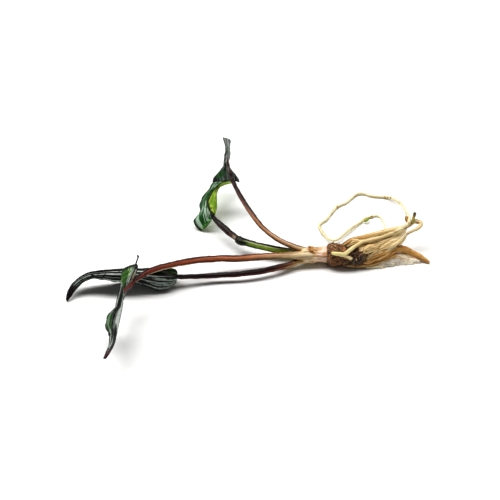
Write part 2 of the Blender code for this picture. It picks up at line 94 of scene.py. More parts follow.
# Leaf stalks: x, y, z, radius. The first point of each lies inside the crown, and that of the
# folded leaf's stalk inside the end of its sheath.
BACK_STALK = [
    (-16.6, 0.6, 4.0, 1.2), (-20.8, 1.3, 5.4, 1.2), (-24.3, 1.8, 6.6, 1.05), (-28.1, 2.5, 8.1, 1.0),
    (-32.2, 4.1, 10.0, 0.95), (-36.0, 6.7, 12.2, 0.95), (-39.7, 11.0, 14.7, 0.95), (-42.8, 16.6, 16.3, 0.9),
    (-45.5, 22.7, 17.4, 0.85), (-47.3, 28.0, 18.1, 0.8), (-48.4, 32.0, 18.6, 0.65),
]
FRONT_STALK = [
    (-16.4, -0.5, 4.0, 1.7), (-20.8, -1.6, 5.0, 1.65), (-25.5, -1.9, 5.2, 1.35), (-30.0, -2.0, 5.1, 1.3),
    (-36.8, -2.5, 5.0, 1.3), (-44.2, -3.7, 5.3, 1.25), (-51.6, -4.6, 6.0, 1.25), (-58.9, -6.8, 7.2, 1.2),
    (-66.1, -10.3, 8.7, 1.2), (-73.0, -14.3, 10.0, 1.1), (-77.6, -18.1, 10.9, 1.05),
    (-81.4, -23.1, 11.6, 0.75),
]
SIDE_STALK = [
    (-16.4, -0.4, 3.0, 1.5), (-20.9, -1.6, 2.5, 1.35), (-22.7, -2.4, 2.6, 1.2), (-25.5, -4.2, 2.8, 1.15),
    (-29.3, -5.8, 2.9, 1.15), (-33.1, -7.3, 3.0, 1.1), (-38.5, -8.9, 3.0, 1.05), (-44.2, -9.9, 3.0, 1.0),
    (-51.6, -10.5, 3.0, 1.0), (-58.9, -11.5, 3.3, 0.95), (-63.0, -12.3, 3.9, 0.9),
    (-66.3, -13.2, 4.6, 0.85), (-67.9, -13.7, 5.2, 0.6),
]
SHEATH = [
    (-16.6, 0.9, 3.2, 1.0), (-20.8, 2.1, 2.7, 1.1), (-25.4, 2.5, 3.5, 1.2), (-31.0, 2.8, 4.3, 1.3),
    (-36.7, 4.1, 4.8, 1.3), (-41.5, 6.0, 4.9, 1.35), (-43.8, 6.8, 4.8, 1.6), (-45.0, 7.7, 5.0, 1.5),
    (-45.7, 8.4, 5.2, 1.05),
]
FOLDED_STALK = [
    (-45.3, 8.0, 5.2, 1.0), (-46.1, 8.9, 5.3, 1.1), (-47.4, 10.2, 5.4, 1.2), (-49.3, 12.4, 5.6, 1.25),
    (-51.9, 15.6, 5.8, 1.15), (-54.4, 19.2, 6.2, 0.85), (-55.2, 20.4, 6.3, 0.6),
]

# Blades are rows of five points from one margin over the midrib to the other margin, and the rows
# run from the base to the tip.
BACK_BLADE = [
    [(-55.3, 32.5, 13.8), (-51.6, 31.0, 15.4), (-47.8, 30.2, 16.0), (-46.2, 31.0, 15.4), (-44.7, 32.2, 14.0)],
    [(-55.0, 35.5, 13.6), (-52.2, 34.8, 16.4), (-48.8, 34.0, 18.4), (-46.8, 34.5, 16.6), (-45.2, 35.1, 13.8)],
    [(-53.3, 36.4, 15.4), (-51.3, 35.9, 17.6), (-49.2, 35.8, 19.0), (-47.9, 36.5, 16.6), (-47.1, 37.7, 13.6)],
    [(-51.6, 37.4, 17.4), (-50.6, 38.1, 18.2), (-49.6, 38.7, 18.8), (-48.9, 39.8, 16.2), (-48.7, 41.0, 13.2)],
    [(-50.9, 39.1, 19.2), (-50.4, 40.4, 18.8), (-49.9, 42.1, 18.2), (-49.6, 43.7, 15.6), (-49.4, 45.1, 13.0)],
    [(-50.8, 41.7, 20.2), (-50.3, 43.5, 19.0), (-49.8, 46.1, 17.2), (-49.5, 47.9, 14.8), (-49.2, 49.8, 12.4)],
    [(-50.5, 45.7, 20.2), (-50.0, 48.0, 18.4), (-49.4, 50.7, 16.2), (-49.0, 53.1, 13.8), (-48.8, 55.3, 11.4)],
    [(-50.8, 51.8, 18.4), (-50.3, 54.2, 16.4), (-49.8, 56.3, 14.6), (-49.3, 58.4, 12.6), (-49.0, 60.0, 10.6)],
    [(-51.6, 59.5, 15.6), (-50.8, 61.6, 13.8), (-50.1, 63.3, 12.2), (-49.4, 64.5, 10.8), (-49.0, 65.4, 9.4)],
    [(-52.2, 67.0, 12.2), (-51.3, 68.4, 11.0), (-50.4, 69.5, 10.0), (-49.6, 70.2, 9.2), (-48.9, 70.7, 8.4)],
    [(-51.9, 70.4, 9.2), (-51.3, 70.8, 8.6), (-50.6, 71.1, 8.0), (-50.0, 71.2, 7.6), (-49.4, 71.3, 7.4)],
]
FOLDED_BLADE = [
    [(-56.0, 18.9, 4.8), (-55.3, 19.3, 5.5), (-54.8, 19.6, 6.2), (-54.2, 20.2, 6.9), (-54.3, 20.0, 7.9)],
    [(-58.2, 18.6, 1.8), (-56.8, 19.3, 3.8), (-55.4, 20.6, 6.2), (-53.9, 21.2, 7.6), (-55.4, 19.9, 8.9)],
    [(-60.0, 19.0, 0.4), (-57.9, 19.6, 3.8), (-55.7, 22.0, 6.6), (-53.7, 22.4, 8.3), (-56.6, 20.4, 9.8)],
    [(-62.7, 21.9, 2.7), (-59.0, 22.0, 5.7), (-55.9, 24.2, 7.2), (-53.6, 24.0, 9.0), (-57.2, 21.9, 10.5)],
    [(-60.2, 24.9, 5.2), (-58.7, 25.9, 6.9), (-56.0, 27.0, 7.8), (-53.7, 26.2, 9.7), (-57.4, 24.0, 11.0)],
    [(-60.5, 28.7, 6.6), (-58.4, 29.1, 7.9), (-55.8, 30.5, 8.3), (-53.8, 29.0, 10.1), (-56.5, 27.0, 11.3)],
    [(-58.6, 32.4, 7.8), (-56.9, 32.6, 8.5), (-54.9, 33.6, 8.6), (-53.4, 32.2, 10.2), (-55.3, 30.4, 11.3)],
    [(-56.8, 36.3, 8.4), (-55.1, 35.9, 8.8), (-53.6, 36.4, 8.5), (-52.4, 35.3, 9.7), (-54.0, 34.2, 10.8)],
    [(-55.0, 40.5, 8.2), (-53.5, 39.6, 8.5), (-51.9, 39.4, 7.9), (-50.8, 38.5, 8.4), (-52.1, 38.4, 9.9)],
    [(-52.0, 44.2, 7.2), (-50.8, 43.2, 7.4), (-49.7, 42.5, 6.8), (-48.9, 41.7, 6.6), (-49.8, 41.6, 8.2)],
    [(-48.6, 46.6, 4.8), (-48.2, 46.2, 4.9), (-47.9, 45.9, 4.5), (-47.6, 45.4, 4.2), (-47.8, 44.9, 4.9)],
]
FRONT_BLADE = [
    [(-81.5, -22.6, 13.4), (-81.7, -23.5, 12.7), (-82.0, -24.3, 12.1),
     (-82.5, -24.3, 11.1), (-82.7, -24.1, 10.0)],
    [(-80.1, -21.5, 15.1), (-81.4, -24.0, 13.9), (-83.0, -26.9, 12.4),
     (-83.5, -26.4, 10.3), (-83.9, -25.8, 8.6)],
    [(-80.6, -19.7, 16.4), (-82.2, -23.7, 14.8), (-83.7, -28.4, 12.6),
     (-84.3, -28.4, 9.9), (-84.8, -28.2, 7.7)],
    [(-85.2, -22.0, 16.2), (-84.9, -25.8, 14.8), (-84.3, -30.0, 12.8),
     (-84.9, -30.5, 9.8), (-85.7, -30.8, 7.1)],
    [(-85.4, -26.0, 14.3), (-85.0, -29.0, 13.7), (-84.2, -32.3, 12.9),
     (-84.9, -33.1, 9.9), (-85.8, -33.6, 6.8)],
    [(-86.2, -29.8, 12.3), (-85.3, -32.7, 12.9), (-84.1, -35.7, 13.0),
     (-84.8, -36.4, 9.8), (-86.0, -36.8, 6.5)],
    [(-87.1, -34.3, 10.4), (-85.7, -36.9, 12.0), (-84.2, -39.3, 12.9),
     (-85.0, -40.0, 9.7), (-86.2, -40.6, 6.4)],
    [(-89.5, -37.6, 8.4), (-86.9, -40.5, 11.2), (-84.4, -43.0, 12.7),
     (-85.3, -43.7, 9.5), (-86.5, -44.2, 6.4)],
    [(-90.1, -41.4, 7.6), (-87.2, -44.1, 10.6), (-84.6, -46.5, 12.4),
     (-85.6, -47.1, 9.5), (-86.8, -47.5, 6.8)],
    [(-88.4, -46.4, 8.5), (-86.5, -48.3, 10.6), (-84.8, -49.7, 11.8),
     (-85.7, -50.2, 9.6), (-86.8, -50.5, 7.5)],
    [(-87.3, -51.7, 9.6), (-86.4, -52.6, 10.6), (-85.2, -53.2, 11.0),
     (-85.9, -53.6, 9.6), (-86.7, -53.6, 8.2)],
    [(-87.8, -55.4, 9.6), (-87.2, -56.0, 10.0), (-86.5, -56.5, 10.2),
     (-86.7, -56.6, 9.5), (-87.3, -56.6, 8.7)],
    [(-88.5, -58.6, 9.2), (-88.3, -58.8, 9.3), (-88.0, -58.9, 9.3), (-87.8, -58.7, 9.1), (-87.6, -58.3, 8.9)],
]
SIDE_BLADE = [
    [(-67.4, -15.0, 3.3), (-67.1, -14.3, 4.2), (-66.8, -13.6, 4.8), (-67.0, -12.5, 5.2), (-67.5, -11.6, 5.3)],
    [(-68.8, -15.7, 2.3), (-68.2, -14.8, 4.1), (-67.9, -13.6, 5.4), (-67.8, -11.4, 6.0), (-68.5, -9.2, 4.6)],
    [(-71.0, -16.6, 1.5), (-69.9, -15.7, 4.4), (-69.5, -14.4, 6.1), (-69.8, -11.0, 6.5), (-70.9, -8.2, 3.6)],
    [(-74.2, -17.3, 1.4), (-72.9, -16.3, 5.0), (-72.4, -15.0, 6.9), (-73.3, -11.2, 7.0), (-74.4, -7.4, 2.6)],
    [(-77.2, -17.0, 2.8), (-76.3, -16.4, 5.8), (-75.9, -15.6, 7.8), (-76.8, -12.3, 7.8), (-77.8, -7.6, 2.2)],
    [(-80.8, -16.9, 4.4), (-80.1, -16.6, 6.8), (-79.8, -16.0, 8.5), (-80.6, -13.4, 8.6), (-81.4, -8.4, 2.2)],
    [(-85.0, -17.4, 5.6), (-84.5, -17.4, 7.7), (-84.4, -16.6, 9.1), (-85.0, -14.2, 9.4), (-85.6, -9.5, 2.6)],
    [(-89.8, -17.5, 6.2), (-89.3, -17.5, 8.0), (-89.3, -16.8, 9.3), (-90.0, -15.0, 9.6), (-90.6, -10.6, 3.0)],
    [(-94.0, -16.8, 6.5), (-93.7, -16.7, 7.9), (-93.8, -16.4, 8.9), (-94.6, -15.3, 9.3), (-95.3, -11.5, 3.4)],
    [(-97.8, -16.2, 6.2), (-97.9, -16.1, 7.2), (-98.1, -15.9, 7.9), (-98.9, -15.1, 8.2), (-99.6, -12.3, 3.8)],
    [(-100.8, -16.6, 4.9), (-101.1, -16.4, 5.6), (-101.5, -16.1, 6.2),
     (-102.1, -15.4, 6.3), (-102.9, -13.4, 3.6)],
    [(-103.4, -18.5, 3.1), (-103.9, -18.2, 3.8), (-104.4, -17.8, 4.2),
     (-105.0, -17.0, 4.3), (-105.6, -15.8, 2.8)],
    [(-105.2, -20.4, 1.5), (-105.6, -20.1, 2.0), (-106.0, -19.8, 2.3),
     (-106.4, -19.5, 2.4), (-106.7, -19.0, 2.2)],
    [(-106.4, -22.0, 0.35), (-106.6, -21.8, 0.45), (-106.8, -21.6, 0.5),
     (-107.0, -21.4, 0.6), (-107.1, -21.2, 0.6)],
]

# Roots: x, y, z, radius.
UPPER_ROOT = [
    (-6.8, 1.2, 6.2, 1.0), (-4.2, 2.4, 7.4, 1.1), (-2.0, 3.5, 8.2, 1.1), (0.8, 3.4, 9.2, 1.05),
    (4.6, 4.1, 9.9, 1.05), (8.8, 5.4, 10.2, 1.05), (13.4, 7.3, 10.2, 1.0), (17.2, 9.1, 9.7, 0.9),
    (19.8, 11.0, 9.2, 0.8), (22.2, 12.7, 9.8, 0.95), (24.2, 12.4, 9.8, 0.9), (24.8, 11.2, 9.4, 0.8),
    (23.6, 9.8, 8.9, 0.7), (21.6, 9.0, 8.4, 0.6), (20.0, 8.4, 8.0, 0.55), (18.8, 7.4, 7.6, 0.5),
    (18.1, 6.1, 7.1, 0.5), (17.3, 4.5, 6.8, 0.45), (16.1, 3.0, 6.6, 0.35), (15.4, 2.3, 6.4, 0.25),
]
LONG_ROOT = [
    (-10.3, -3.4, 7.7, 0.55), (-8.0, -3.7, 7.5, 0.75), (-5.4, -3.7, 7.2, 0.8), (-3.4, -2.2, 8.0, 0.75),
    (-1.1, -0.6, 8.9, 0.65), (2.0, 1.1, 9.5, 0.6), (6.0, 1.9, 10.0, 0.55), (10.0, 3.4, 10.3, 0.55),
    (14.2, 5.3, 10.8, 0.55), (18.0, 8.0, 11.3, 0.6), (19.8, 10.4, 11.5, 0.65), (20.3, 14.4, 10.6, 0.65),
    (20.4, 19.5, 8.9, 0.55), (20.2, 26.5, 6.4, 0.55), (19.5, 33.0, 3.8, 0.55), (17.9, 38.2, 1.6, 0.55),
    (15.3, 40.6, 0.7, 0.55), (11.7, 40.9, 0.6, 0.5), (8.9, 41.6, 0.6, 0.5), (6.1, 42.9, 0.6, 0.5),
    (3.6, 42.5, 0.6, 0.55), (0.9, 39.6, 0.6, 0.5), (-1.4, 36.8, 0.6, 0.5), (-5.2, 34.0, 0.6, 0.5),
    (-7.9, 29.6, 0.6, 0.5), (-10.2, 25.6, 0.6, 0.5), (-12.5, 23.2, 0.7, 0.5), (-13.2, 21.1, 0.8, 0.55),
    (-12.1, 17.0, 1.1, 0.55), (-10.4, 13.2, 1.4, 0.5), (-8.4, 11.4, 1.5, 0.5), (-6.2, 12.5, 1.5, 0.5),
    (-3.4, 16.2, 1.3, 0.5), (-0.4, 19.5, 1.1, 0.5), (2.7, 23.1, 0.8, 0.45), (5.2, 26.0, 0.7, 0.5),
    (7.5, 27.4, 0.6, 0.4), (10.0, 28.3, 0.5, 0.4), (11.9, 27.0, 0.5, 0.35), (12.6, 24.0, 0.5, 0.3),
    (12.8, 21.0, 0.5, 0.3), (13.0, 18.6, 0.5, 0.25),
]
MIDDLE_ROOT = [
    (9.0, 1.9, 7.1, 0.95), (11.6, 2.9, 8.0, 1.0), (14.2, 4.5, 8.6, 0.95), (17.0, 6.7, 8.8, 0.7),
    (18.8, 8.4, 8.8, 0.35),
]
LOWER_MIDDLE_ROOT = [
    (9.0, 0.2, 6.3, 0.5), (12.7, 0.9, 7.2, 0.6), (15.0, 2.4, 7.9, 0.6), (17.4, 5.1, 8.1, 0.5),
    (18.5, 6.8, 8.2, 0.35),
]
THICK_ROOT = [
    (4.3, -2.1, 1.3, 0.85), (6.8, -1.1, 2.3, 1.2), (9.2, -0.2, 3.3, 1.5), (11.4, 1.2, 4.2, 1.8),
    (13.6, 2.4, 4.7, 1.75), (16.0, 3.0, 4.5, 1.45), (18.6, 3.0, 3.7, 1.3), (21.3, 2.4, 2.7, 1.15),
    (24.2, 1.2, 1.7, 0.95), (26.2, 0.2, 1.0, 0.7), (27.5, -0.6, 0.6, 0.45),
]
LOW_ROOT = [
    (3.2, -3.4, 0.6, 0.35), (6.0, -3.1, 0.6, 0.5), (9.5, -2.2, 0.6, 0.5), (13.0, -0.7, 0.6, 0.45),
    (16.5, 1.0, 0.5, 0.35),
]
DARK_ROOT_STUB = [
    (21.4, 11.3, 10.0, 0.5), (21.6, 12.0, 11.0, 0.5), (22.0, 13.0, 12.1, 0.55), (22.5, 14.1, 13.3, 0.6),
]
BROWN_ROOT_STUB = [
    (20.2, 10.6, 10.2, 0.5), (19.9, 11.5, 10.7, 0.65), (19.3, 12.2, 11.1, 0.6), (19.2, 12.9, 11.6, 0.6),
    (18.7, 13.2, 11.9, 0.4),
]
ROOT_BUD = [
    (-6.0, -3.9, 7.0, 0.5), (-4.6, -4.0, 6.4, 0.5), (-3.2, -4.2, 5.8, 0.65), (-2.4, -4.3, 6.0, 0.4),
]

# Flat tan roots that fill the fan between the rhizome and the knot.
FAN_STRANDS = [
    [(-5.5, 1.0, 6.6, 0.9), (-2.0, 2.4, 8.2, 1.0), (1.5, 1.9, 8.8, 0.9), (5.3, 3.1, 9.3, 0.9),
     (9.5, 4.4, 9.5, 0.8), (13.9, 6.5, 9.4, 0.7), (17.2, 8.6, 9.2, 0.6), (19.9, 10.9, 9.3, 0.45)],
    [(-4.5, 2.8, 6.0, 0.8), (-1.5, 3.9, 7.4, 0.9), (2.0, 4.6, 8.4, 0.9), (6.0, 5.4, 9.0, 0.8),
     (10.5, 6.6, 9.4, 0.7), (15.0, 8.6, 9.4, 0.6), (19.4, 11.0, 9.3, 0.5)],
    [(4.6, 0.1, 6.3, 0.5), (6.4, -0.1, 6.8, 0.9), (8.6, 0.2, 7.2, 1.0), (11.3, 1.3, 7.8, 0.9),
     (14.0, 3.2, 8.3, 0.8), (16.5, 5.8, 8.6, 0.6), (18.9, 8.4, 9.0, 0.35)],
    [(4.6, -1.0, 5.0, 0.5), (6.6, -0.7, 5.6, 0.8), (8.8, -0.5, 6.1, 0.8), (11.5, 0.4, 6.3, 0.7),
     (13.9, 2.0, 6.3, 0.6), (16.2, 3.9, 6.5, 0.4), (17.8, 5.8, 7.2, 0.3)],
    [(1.0, 3.0, 7.6, 0.8), (5.0, 3.6, 8.4, 0.9), (9.0, 4.6, 8.8, 0.9), (13.0, 6.4, 8.9, 0.8),
     (16.5, 8.4, 8.9, 0.6), (19.6, 10.6, 9.1, 0.4)],
    [(3.8, 1.8, 8.2, 0.7), (6.4, 2.1, 8.7, 1.0), (9.0, 2.8, 9.0, 1.0), (12.5, 4.4, 9.2, 0.9),
     (16.0, 6.8, 9.2, 0.7), (19.2, 9.6, 9.3, 0.4)],
    [(4.2, 0.7, 7.4, 0.6), (6.8, 1.0, 7.9, 0.9), (9.6, 1.8, 8.4, 0.9), (13.0, 3.8, 8.8, 0.8),
     (16.2, 6.4, 9.0, 0.6), (18.8, 9.0, 9.2, 0.35)],
]
LOWER_STRANDS = [
    [(-5.0, -3.0, 1.5, 0.5), (-1.0, -3.3, 1.5, 0.8), (3.0, -3.0, 1.9, 1.0), (7.0, -2.0, 2.4, 1.0),
     (11.0, -0.8, 2.9, 0.8), (15.0, 1.0, 3.2, 0.5)],
    [(1.8, -3.2, 2.9, 0.5), (3.8, -2.8, 3.2, 0.9), (6.0, -2.1, 3.8, 1.0), (9.5, -1.2, 4.7, 0.9),
     (12.4, 0.0, 5.4, 0.5)],
    [(3.0, -2.5, 4.3, 0.5), (5.2, -1.9, 4.8, 0.9), (7.5, -1.2, 5.4, 0.9), (10.5, -0.4, 5.8, 0.7),
     (13.4, 1.2, 5.8, 0.4)],
    [(4.0, -2.2, 1.4, 0.8), (8.0, -1.4, 2.0, 1.0), (12.0, 0.2, 2.6, 0.9), (16.0, 1.8, 2.8, 0.5),
     (19.0, 2.2, 2.6, 0.3)],
]

# Broad thin skins behind the strands, and the side that they show.
FAN_SKIN = [
    [(1.5, 1.8, 6.2, 1.4), (4.8, 2.0, 7.2, 2.4), (8.0, 2.7, 7.8, 2.7), (12.0, 4.3, 8.2, 2.2),
     (16.0, 7.2, 8.7, 1.3), (19.4, 10.2, 9.2, 0.5)],
    [(2.6, -1.8, 2.8, 1.0), (5.2, -1.3, 3.6, 1.8), (8.0, -0.5, 4.4, 1.9), (11.5, 0.9, 4.6, 1.4),
     (14.5, 2.2, 4.6, 0.6)],
]
FAN_FACE = (0.0, -0.643, 0.766)

# The edges of the thin skin that hangs from the thick root to the ground.
FILM_TOP = [(5.5, -1.9, 1.9), (9.0, -1.0, 2.4), (12.5, 0.6, 3.2), (16.0, 1.9, 3.4), (19.5, 2.0, 2.8),
            (23.0, 1.3, 1.6)]
FILM_FOOT = [(4.5, -3.6, 0.15), (8.5, -3.3, 0.2), (12.5, -2.4, 0.15), (16.0, -1.6, 0.2), (20.0, -1.2, 0.15),
             (24.0, -0.6, 0.2)]

# Debris among the roots, a green bit and torn bits: x, y, z, radius.
GREEN_BIT = [(4.9, 23.6, 1.0, 0.3), (5.3, 23.9, 1.2, 0.5), (6.1, 24.4, 1.4, 0.5), (6.7, 25.4, 1.5, 0.4),
             (7.0, 26.2, 1.4, 0.25)]
TORN_BITS = [
    [(13.0, 2.8, 5.4, 0.5), (13.6, 3.2, 6.6, 0.6), (13.7, 3.3, 7.4, 0.3)],
    [(14.0, 2.6, 5.8, 0.5), (15.0, 2.7, 6.2, 0.5), (15.8, 3.0, 6.3, 0.2)],
    [(12.0, 2.0, 5.6, 0.5), (12.9, 2.6, 6.3, 0.4), (13.2, 3.0, 7.0, 0.2)],
]

# A tendril and a spur on the front leaf: x, y, z, radius.
LEAF_TENDRIL = [
    (-80.9, -20.1, 16.0, 0.34), (-80.5, -19.4, 17.1, 0.27), (-80.1, -18.7, 18.0, 0.26),
    (-79.9, -18.3, 18.6, 0.36), (-80.3, -17.9, 19.0, 0.3),
]
LEAF_SPUR = [
    (-84.9, -26.9, 13.6, 0.35), (-86.2, -26.8, 13.2, 0.34), (-87.5, -26.6, 12.8, 0.3),
    (-88.7, -26.4, 12.4, 0.16),
]

BLADE_ROWS = 150
BLADE_COLUMNS = 45
BLADE_THICKNESS = 0.34
RUFFLE_LENGTH = 5.2
MIDRIB_WIDTH = 0.55
# Lengthwise veins lie at these shares of a blade's half width, slanting ones at a spacing in mm.
VEIN_PLACES = (0.24, 0.46, 0.68, 0.86)
VEIN_WIDTH = 0.035
VEIN_SPACING = 3.1
CROSS_VEIN_WIDTH = 0.28

# Places of the crumbs on the roots: x, y, z.
CRUMBS = [
    (12.2, -0.6, 1.2), (13.2, 0.2, 1.6), (13.9, -0.3, 1.2), (15.3, 0.9, 1.5), (16.3, 1.6, 1.7),
    (16.9, 0.6, 1.2), (14.8, 40.3, 0.9), (15.9, 39.7, 1.2), (17.0, 38.8, 1.6), (8.2, 27.4, 0.9),
    (-5.2, 33.7, 0.9),
]

# The "spot" of a closed skin's two end points.
END_SPOTS = [(0, 0, 0), (1, 0, 0)]


def smooth(points, count):
    """That many rows of numbers along a smooth curve that passes through every row of points."""
    points = np.asarray(points, float)
    before = 2 * points[:1] - points[1:2]
    after = 2 * points[-1:] - points[-2:-1]
    padded = np.concatenate([before, points, after])
    along = np.linspace(0, len(points) - 1, count)
    start = np.minimum(along.astype(int), len(points) - 2)
    t = (along - start).reshape((-1,) + (1,) * (points.ndim - 1))
    a, b, c, d = (padded[start + k] for k in range(4))
    return 0.5 * (2 * b + (c - a) * t + (2 * a - 5 * b + 4 * c - d) * t**2 + (3 * b - 3 * c + d - a) * t**3)


def unit(vectors):
    """The same directions with length 1."""
    length = np.linalg.norm(vectors, axis=-1, keepdims=True)
    return vectors / np.maximum(length, 1e-9)


def run(path):
    """The length travelled at each point of a path."""
    steps = np.linalg.norm(np.diff(path, axis=0), axis=-1)
    return np.concatenate([[0.0], np.cumsum(steps)])


def triples(a, b, c):
    """Rows of three numbers, from three arrays or numbers stretched to one shape."""
    return np.stack(np.broadcast_arrays(a, b, c), -1)


def rough(points, scale, octaves=3):
    """Fractal noise of about -1 to 1 at each of the points."""
    flat = np.asarray(points, float).reshape(-1, 3) * scale
    values = [noise.fractal(Vector(p), 1.0, 2.0, octaves) for p in flat]
    return np.array(values).reshape(np.shape(points)[:-1])


def linear(code):
    """The linear colour of a #rrggbb code."""
    parts = [int(code[k : k + 2], 16) / 255 for k in (1, 3, 5)]
    return tuple(c / 12.92 if c <= 0.04045 else ((c + 0.055) / 1.055) ** 2.4 for c in parts) + (1.0,)


def place_object(name, data):
    thing = bpy.data.objects.new(name, data)
    bpy.context.scene.collection.objects.link(thing)
    return thing


class Form:
    """Closed skins gathered into one mesh.

    Each point carries "spot", its share along, its place across and its side, and "span", its
    place across in mm (two numbers) and its distance along in mm.
    """

    def __init__(self):
        self.points, self.faces, self.kinds, self.spots, self.spans = [], [], [], [], []
        self.count = 0

    def add(self, points, faces, spots, spans, kind=0):
        points = points.reshape(-1, 3).copy()
        points[:, 2] = np.maximum(points[:, 2], 0.0)
        self.points.append(points)
        self.faces += [tuple(k + self.count for k in face) for face in faces]
        self.kinds += [kind] * len(faces)
        self.spots.append(spots.reshape(-1, 3))
        self.spans.append(spans.reshape(-1, 3))
        self.count += len(points)

    def build(self, name, slot, *materials, node=None):
        """Make the piece, which may stand for a node of the frame."""
        mesh = bpy.data.meshes.new(name)
        mesh.from_pydata(np.concatenate(self.points) * MM, [], self.faces)
        for title, rows in (("spot", self.spots), ("span", self.spans)):
            layer = mesh.attributes.new(title, "FLOAT_VECTOR", "POINT")
            layer.data.foreach_set("vector", np.concatenate(rows).astype(np.float32).ravel())
        for material in materials:
            mesh.materials.append(material)
        mesh.polygons.foreach_set("material_index", self.kinds)
        mesh.shade_smooth()
        mesh.update()
        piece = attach(place_object(name, mesh), BODY)
        if node:
            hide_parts(node)


def ring_faces(rings, sides):
    """The faces of a closed tube whose end points are the last two points of its grid."""
    faces = []
    for i in range(rings - 1):
        for k in range(sides):
            after = (k + 1) % sides
            faces.append((i * sides + k, i * sides + after, (i + 1) * sides + after, (i + 1) * sides + k))
    first, last, base = rings * sides, rings * sides + 1, (rings - 1) * sides
    for k in range(sides):
        after = (k + 1) % sides
        faces.append((first, after, k))
        faces.append((last, base + k, base + after))
    return faces


def sheet_faces(count, columns):
    """The faces of a closed sheet: an outer grid, an inner grid and the strip round their edge."""
    size = count * columns
    faces = []
    for i in range(count - 1):
        for k in range(columns - 1):
            a, b = i * columns + k, i * columns + k + 1
            c, d = b + columns, a + columns
            faces.append((a, d, c, b))
            faces.append((size + a, size + b, size + c, size + d))
    border = list(range(columns)) + [i * columns + columns - 1 for i in range(1, count)]
    border += [(count - 1) * columns + k for k in range(columns - 2, -1, -1)]
    border += [i * columns for i in range(count - 2, 0, -1)]
    for a, b in zip(border, border[1:] + border[:1]):
        faces.append((a, b, size + b, size + a))
    return faces


def closed(grid, ends):
    """The rows of a grid as one list, with the rows of its two end points after them."""
    return np.concatenate([grid.reshape(-1, 3), ends])


def add_tube(form, route, rings, sides, skin=None, flat=1.0, wander=0.0, ends=(0.4, 0.4), kind=0,
             face=(0, 0, 1)):
    """A closed tube along a smooth route. skin(along, turn) is added to the radius as a share of
    it, flat squeezes it toward its face, wander bends its path, and ends are how far its tips
    round off."""
    line = smooth(route, rings)
    path, radius = line[:, :3], line[:, 3]
    along = run(path)
    if wander:
        where = triples(along * 0.35, route[0][0], route[0][1])
        drift = np.stack([rough(where + 7.3 * k, 1.0, 2) for k in range(3)], -1)
        ease = np.minimum(1, np.minimum(along, along[-1] - along) / 2)[:, None]
        path = path + wander * drift * ease
    ahead = unit(np.gradient(path, axis=0))
    up = np.zeros_like(path)
    hold = np.array(face, float)
    for i in range(rings):
        hold = hold - ahead[i] * (hold @ ahead[i])
        hold = hold / np.linalg.norm(hold)
        up[i] = hold
    side = np.cross(ahead, up)
    turn = np.linspace(0, TAU, sides, endpoint=False)
    near = np.clip(along / ends[0], 0, 1)
    far = np.clip((along[-1] - along) / ends[1], 0, 1)
    cap = np.sqrt(1 - (1 - near) ** 2) * np.sqrt(1 - (1 - far) ** 2)
    reach = (radius * np.maximum(cap, 0.12))[:, None] * np.ones(sides)
    if skin is not None:
        reach = reach * (1 + skin(along[:, None], turn[None, :]))
    over = side[:, None] * np.cos(turn)[None, :, None] + flat * up[:, None] * np.sin(turn)[None, :, None]
    grid = path[:, None] + reach[..., None] * over
    tips = np.array([path[0] - 0.02 * ahead[0], path[-1] + 0.02 * ahead[-1]])
    # The side toward UP_BACK, by which the stalk colours paint shade on the edges and a highlight line.
    lift = np.array(UP_BACK) - (ahead @ np.array(UP_BACK))[:, None] * ahead
    outward = np.einsum("ikc,ic->ik", unit(over), unit(lift))
    spots = closed(triples((along / along[-1])[:, None], np.cos(turn), outward), END_SPOTS)
    wide = radius[:, None]
    spans = closed(triples(wide * np.cos(turn), wide * np.sin(turn), along[:, None]),
                   [(0, 0, 0), (0, 0, along[-1])])
    form.add(closed(grid, tips), ring_faces(rings, sides), spots, spans, kind)


def ridges(count, depth, drift=0.05, lumps=0.0, seed=0.0):
    """A skin with lengthwise ridges that wander round the tube, and soft lumps along it."""

    def skin(along, turn):
        soft = rough(triples(along * 0.5 + seed, np.cos(turn), np.sin(turn)), 0.9, 3)
        wave = np.sin(count * (turn + drift * along) + 2.0 * soft)
        return depth * wave + lumps * soft

    return skin


def grown(x, turn, axis, proud):
    """The points round the X axis that stand proud of the axis's own radius."""
    table = np.array(axis)
    y, z, radius = (np.interp(x, table[:, 0], table[:, k]) for k in (1, 2, 3))
    reach = radius + proud
    return triples(x, y + reach * np.cos(turn), z + reach * np.sin(turn))


def add_log(form, axis, rings, sides, proud, detail):
    """A closed log of rings across the X axis, cut off flat at the ground. proud(x, turn) is
    added to its radius, and detail(points) moves the skin outward, in mm."""
    line = smooth(axis, rings)
    turn = np.linspace(0, TAU, sides, endpoint=False)
    out = triples(0.0, np.cos(turn), np.sin(turn))
    along = run(line[:, :3])
    cap = np.minimum(1, np.minimum(along, along[-1] - along) / 1.2)
    squeeze = 0.78 + 0.22 * np.sqrt(1 - (1 - cap) ** 2)
    reach = (line[:, 3, None] + proud(line[:, 0, None], turn[None])) * squeeze[:, None]
    grid = line[:, None, :3] + reach[..., None] * out
    grid = grid + (detail(grid) * (0.4 + 0.6 * cap[:, None]))[..., None] * out
    grid[..., 0] += 0.35 * (1 - cap[:, None]) * rough(grid * np.array([0.0, 1.0, 1.0]), 0.7, 3)
    grid[..., 2] = np.maximum(grid[..., 2], 0.0)
    spots = closed(triples((along / along[-1])[:, None], np.cos(turn), np.sin(turn)), END_SPOTS)
    points = closed(grid, line[[0, -1], :3])
    faces = [face[::-1] for face in ring_faces(rings, sides)]
    spans = closed(grid[..., [1, 2, 0]], line[[0, -1]][:, [1, 2, 0]])
    form.add(points, faces, spots, spans)


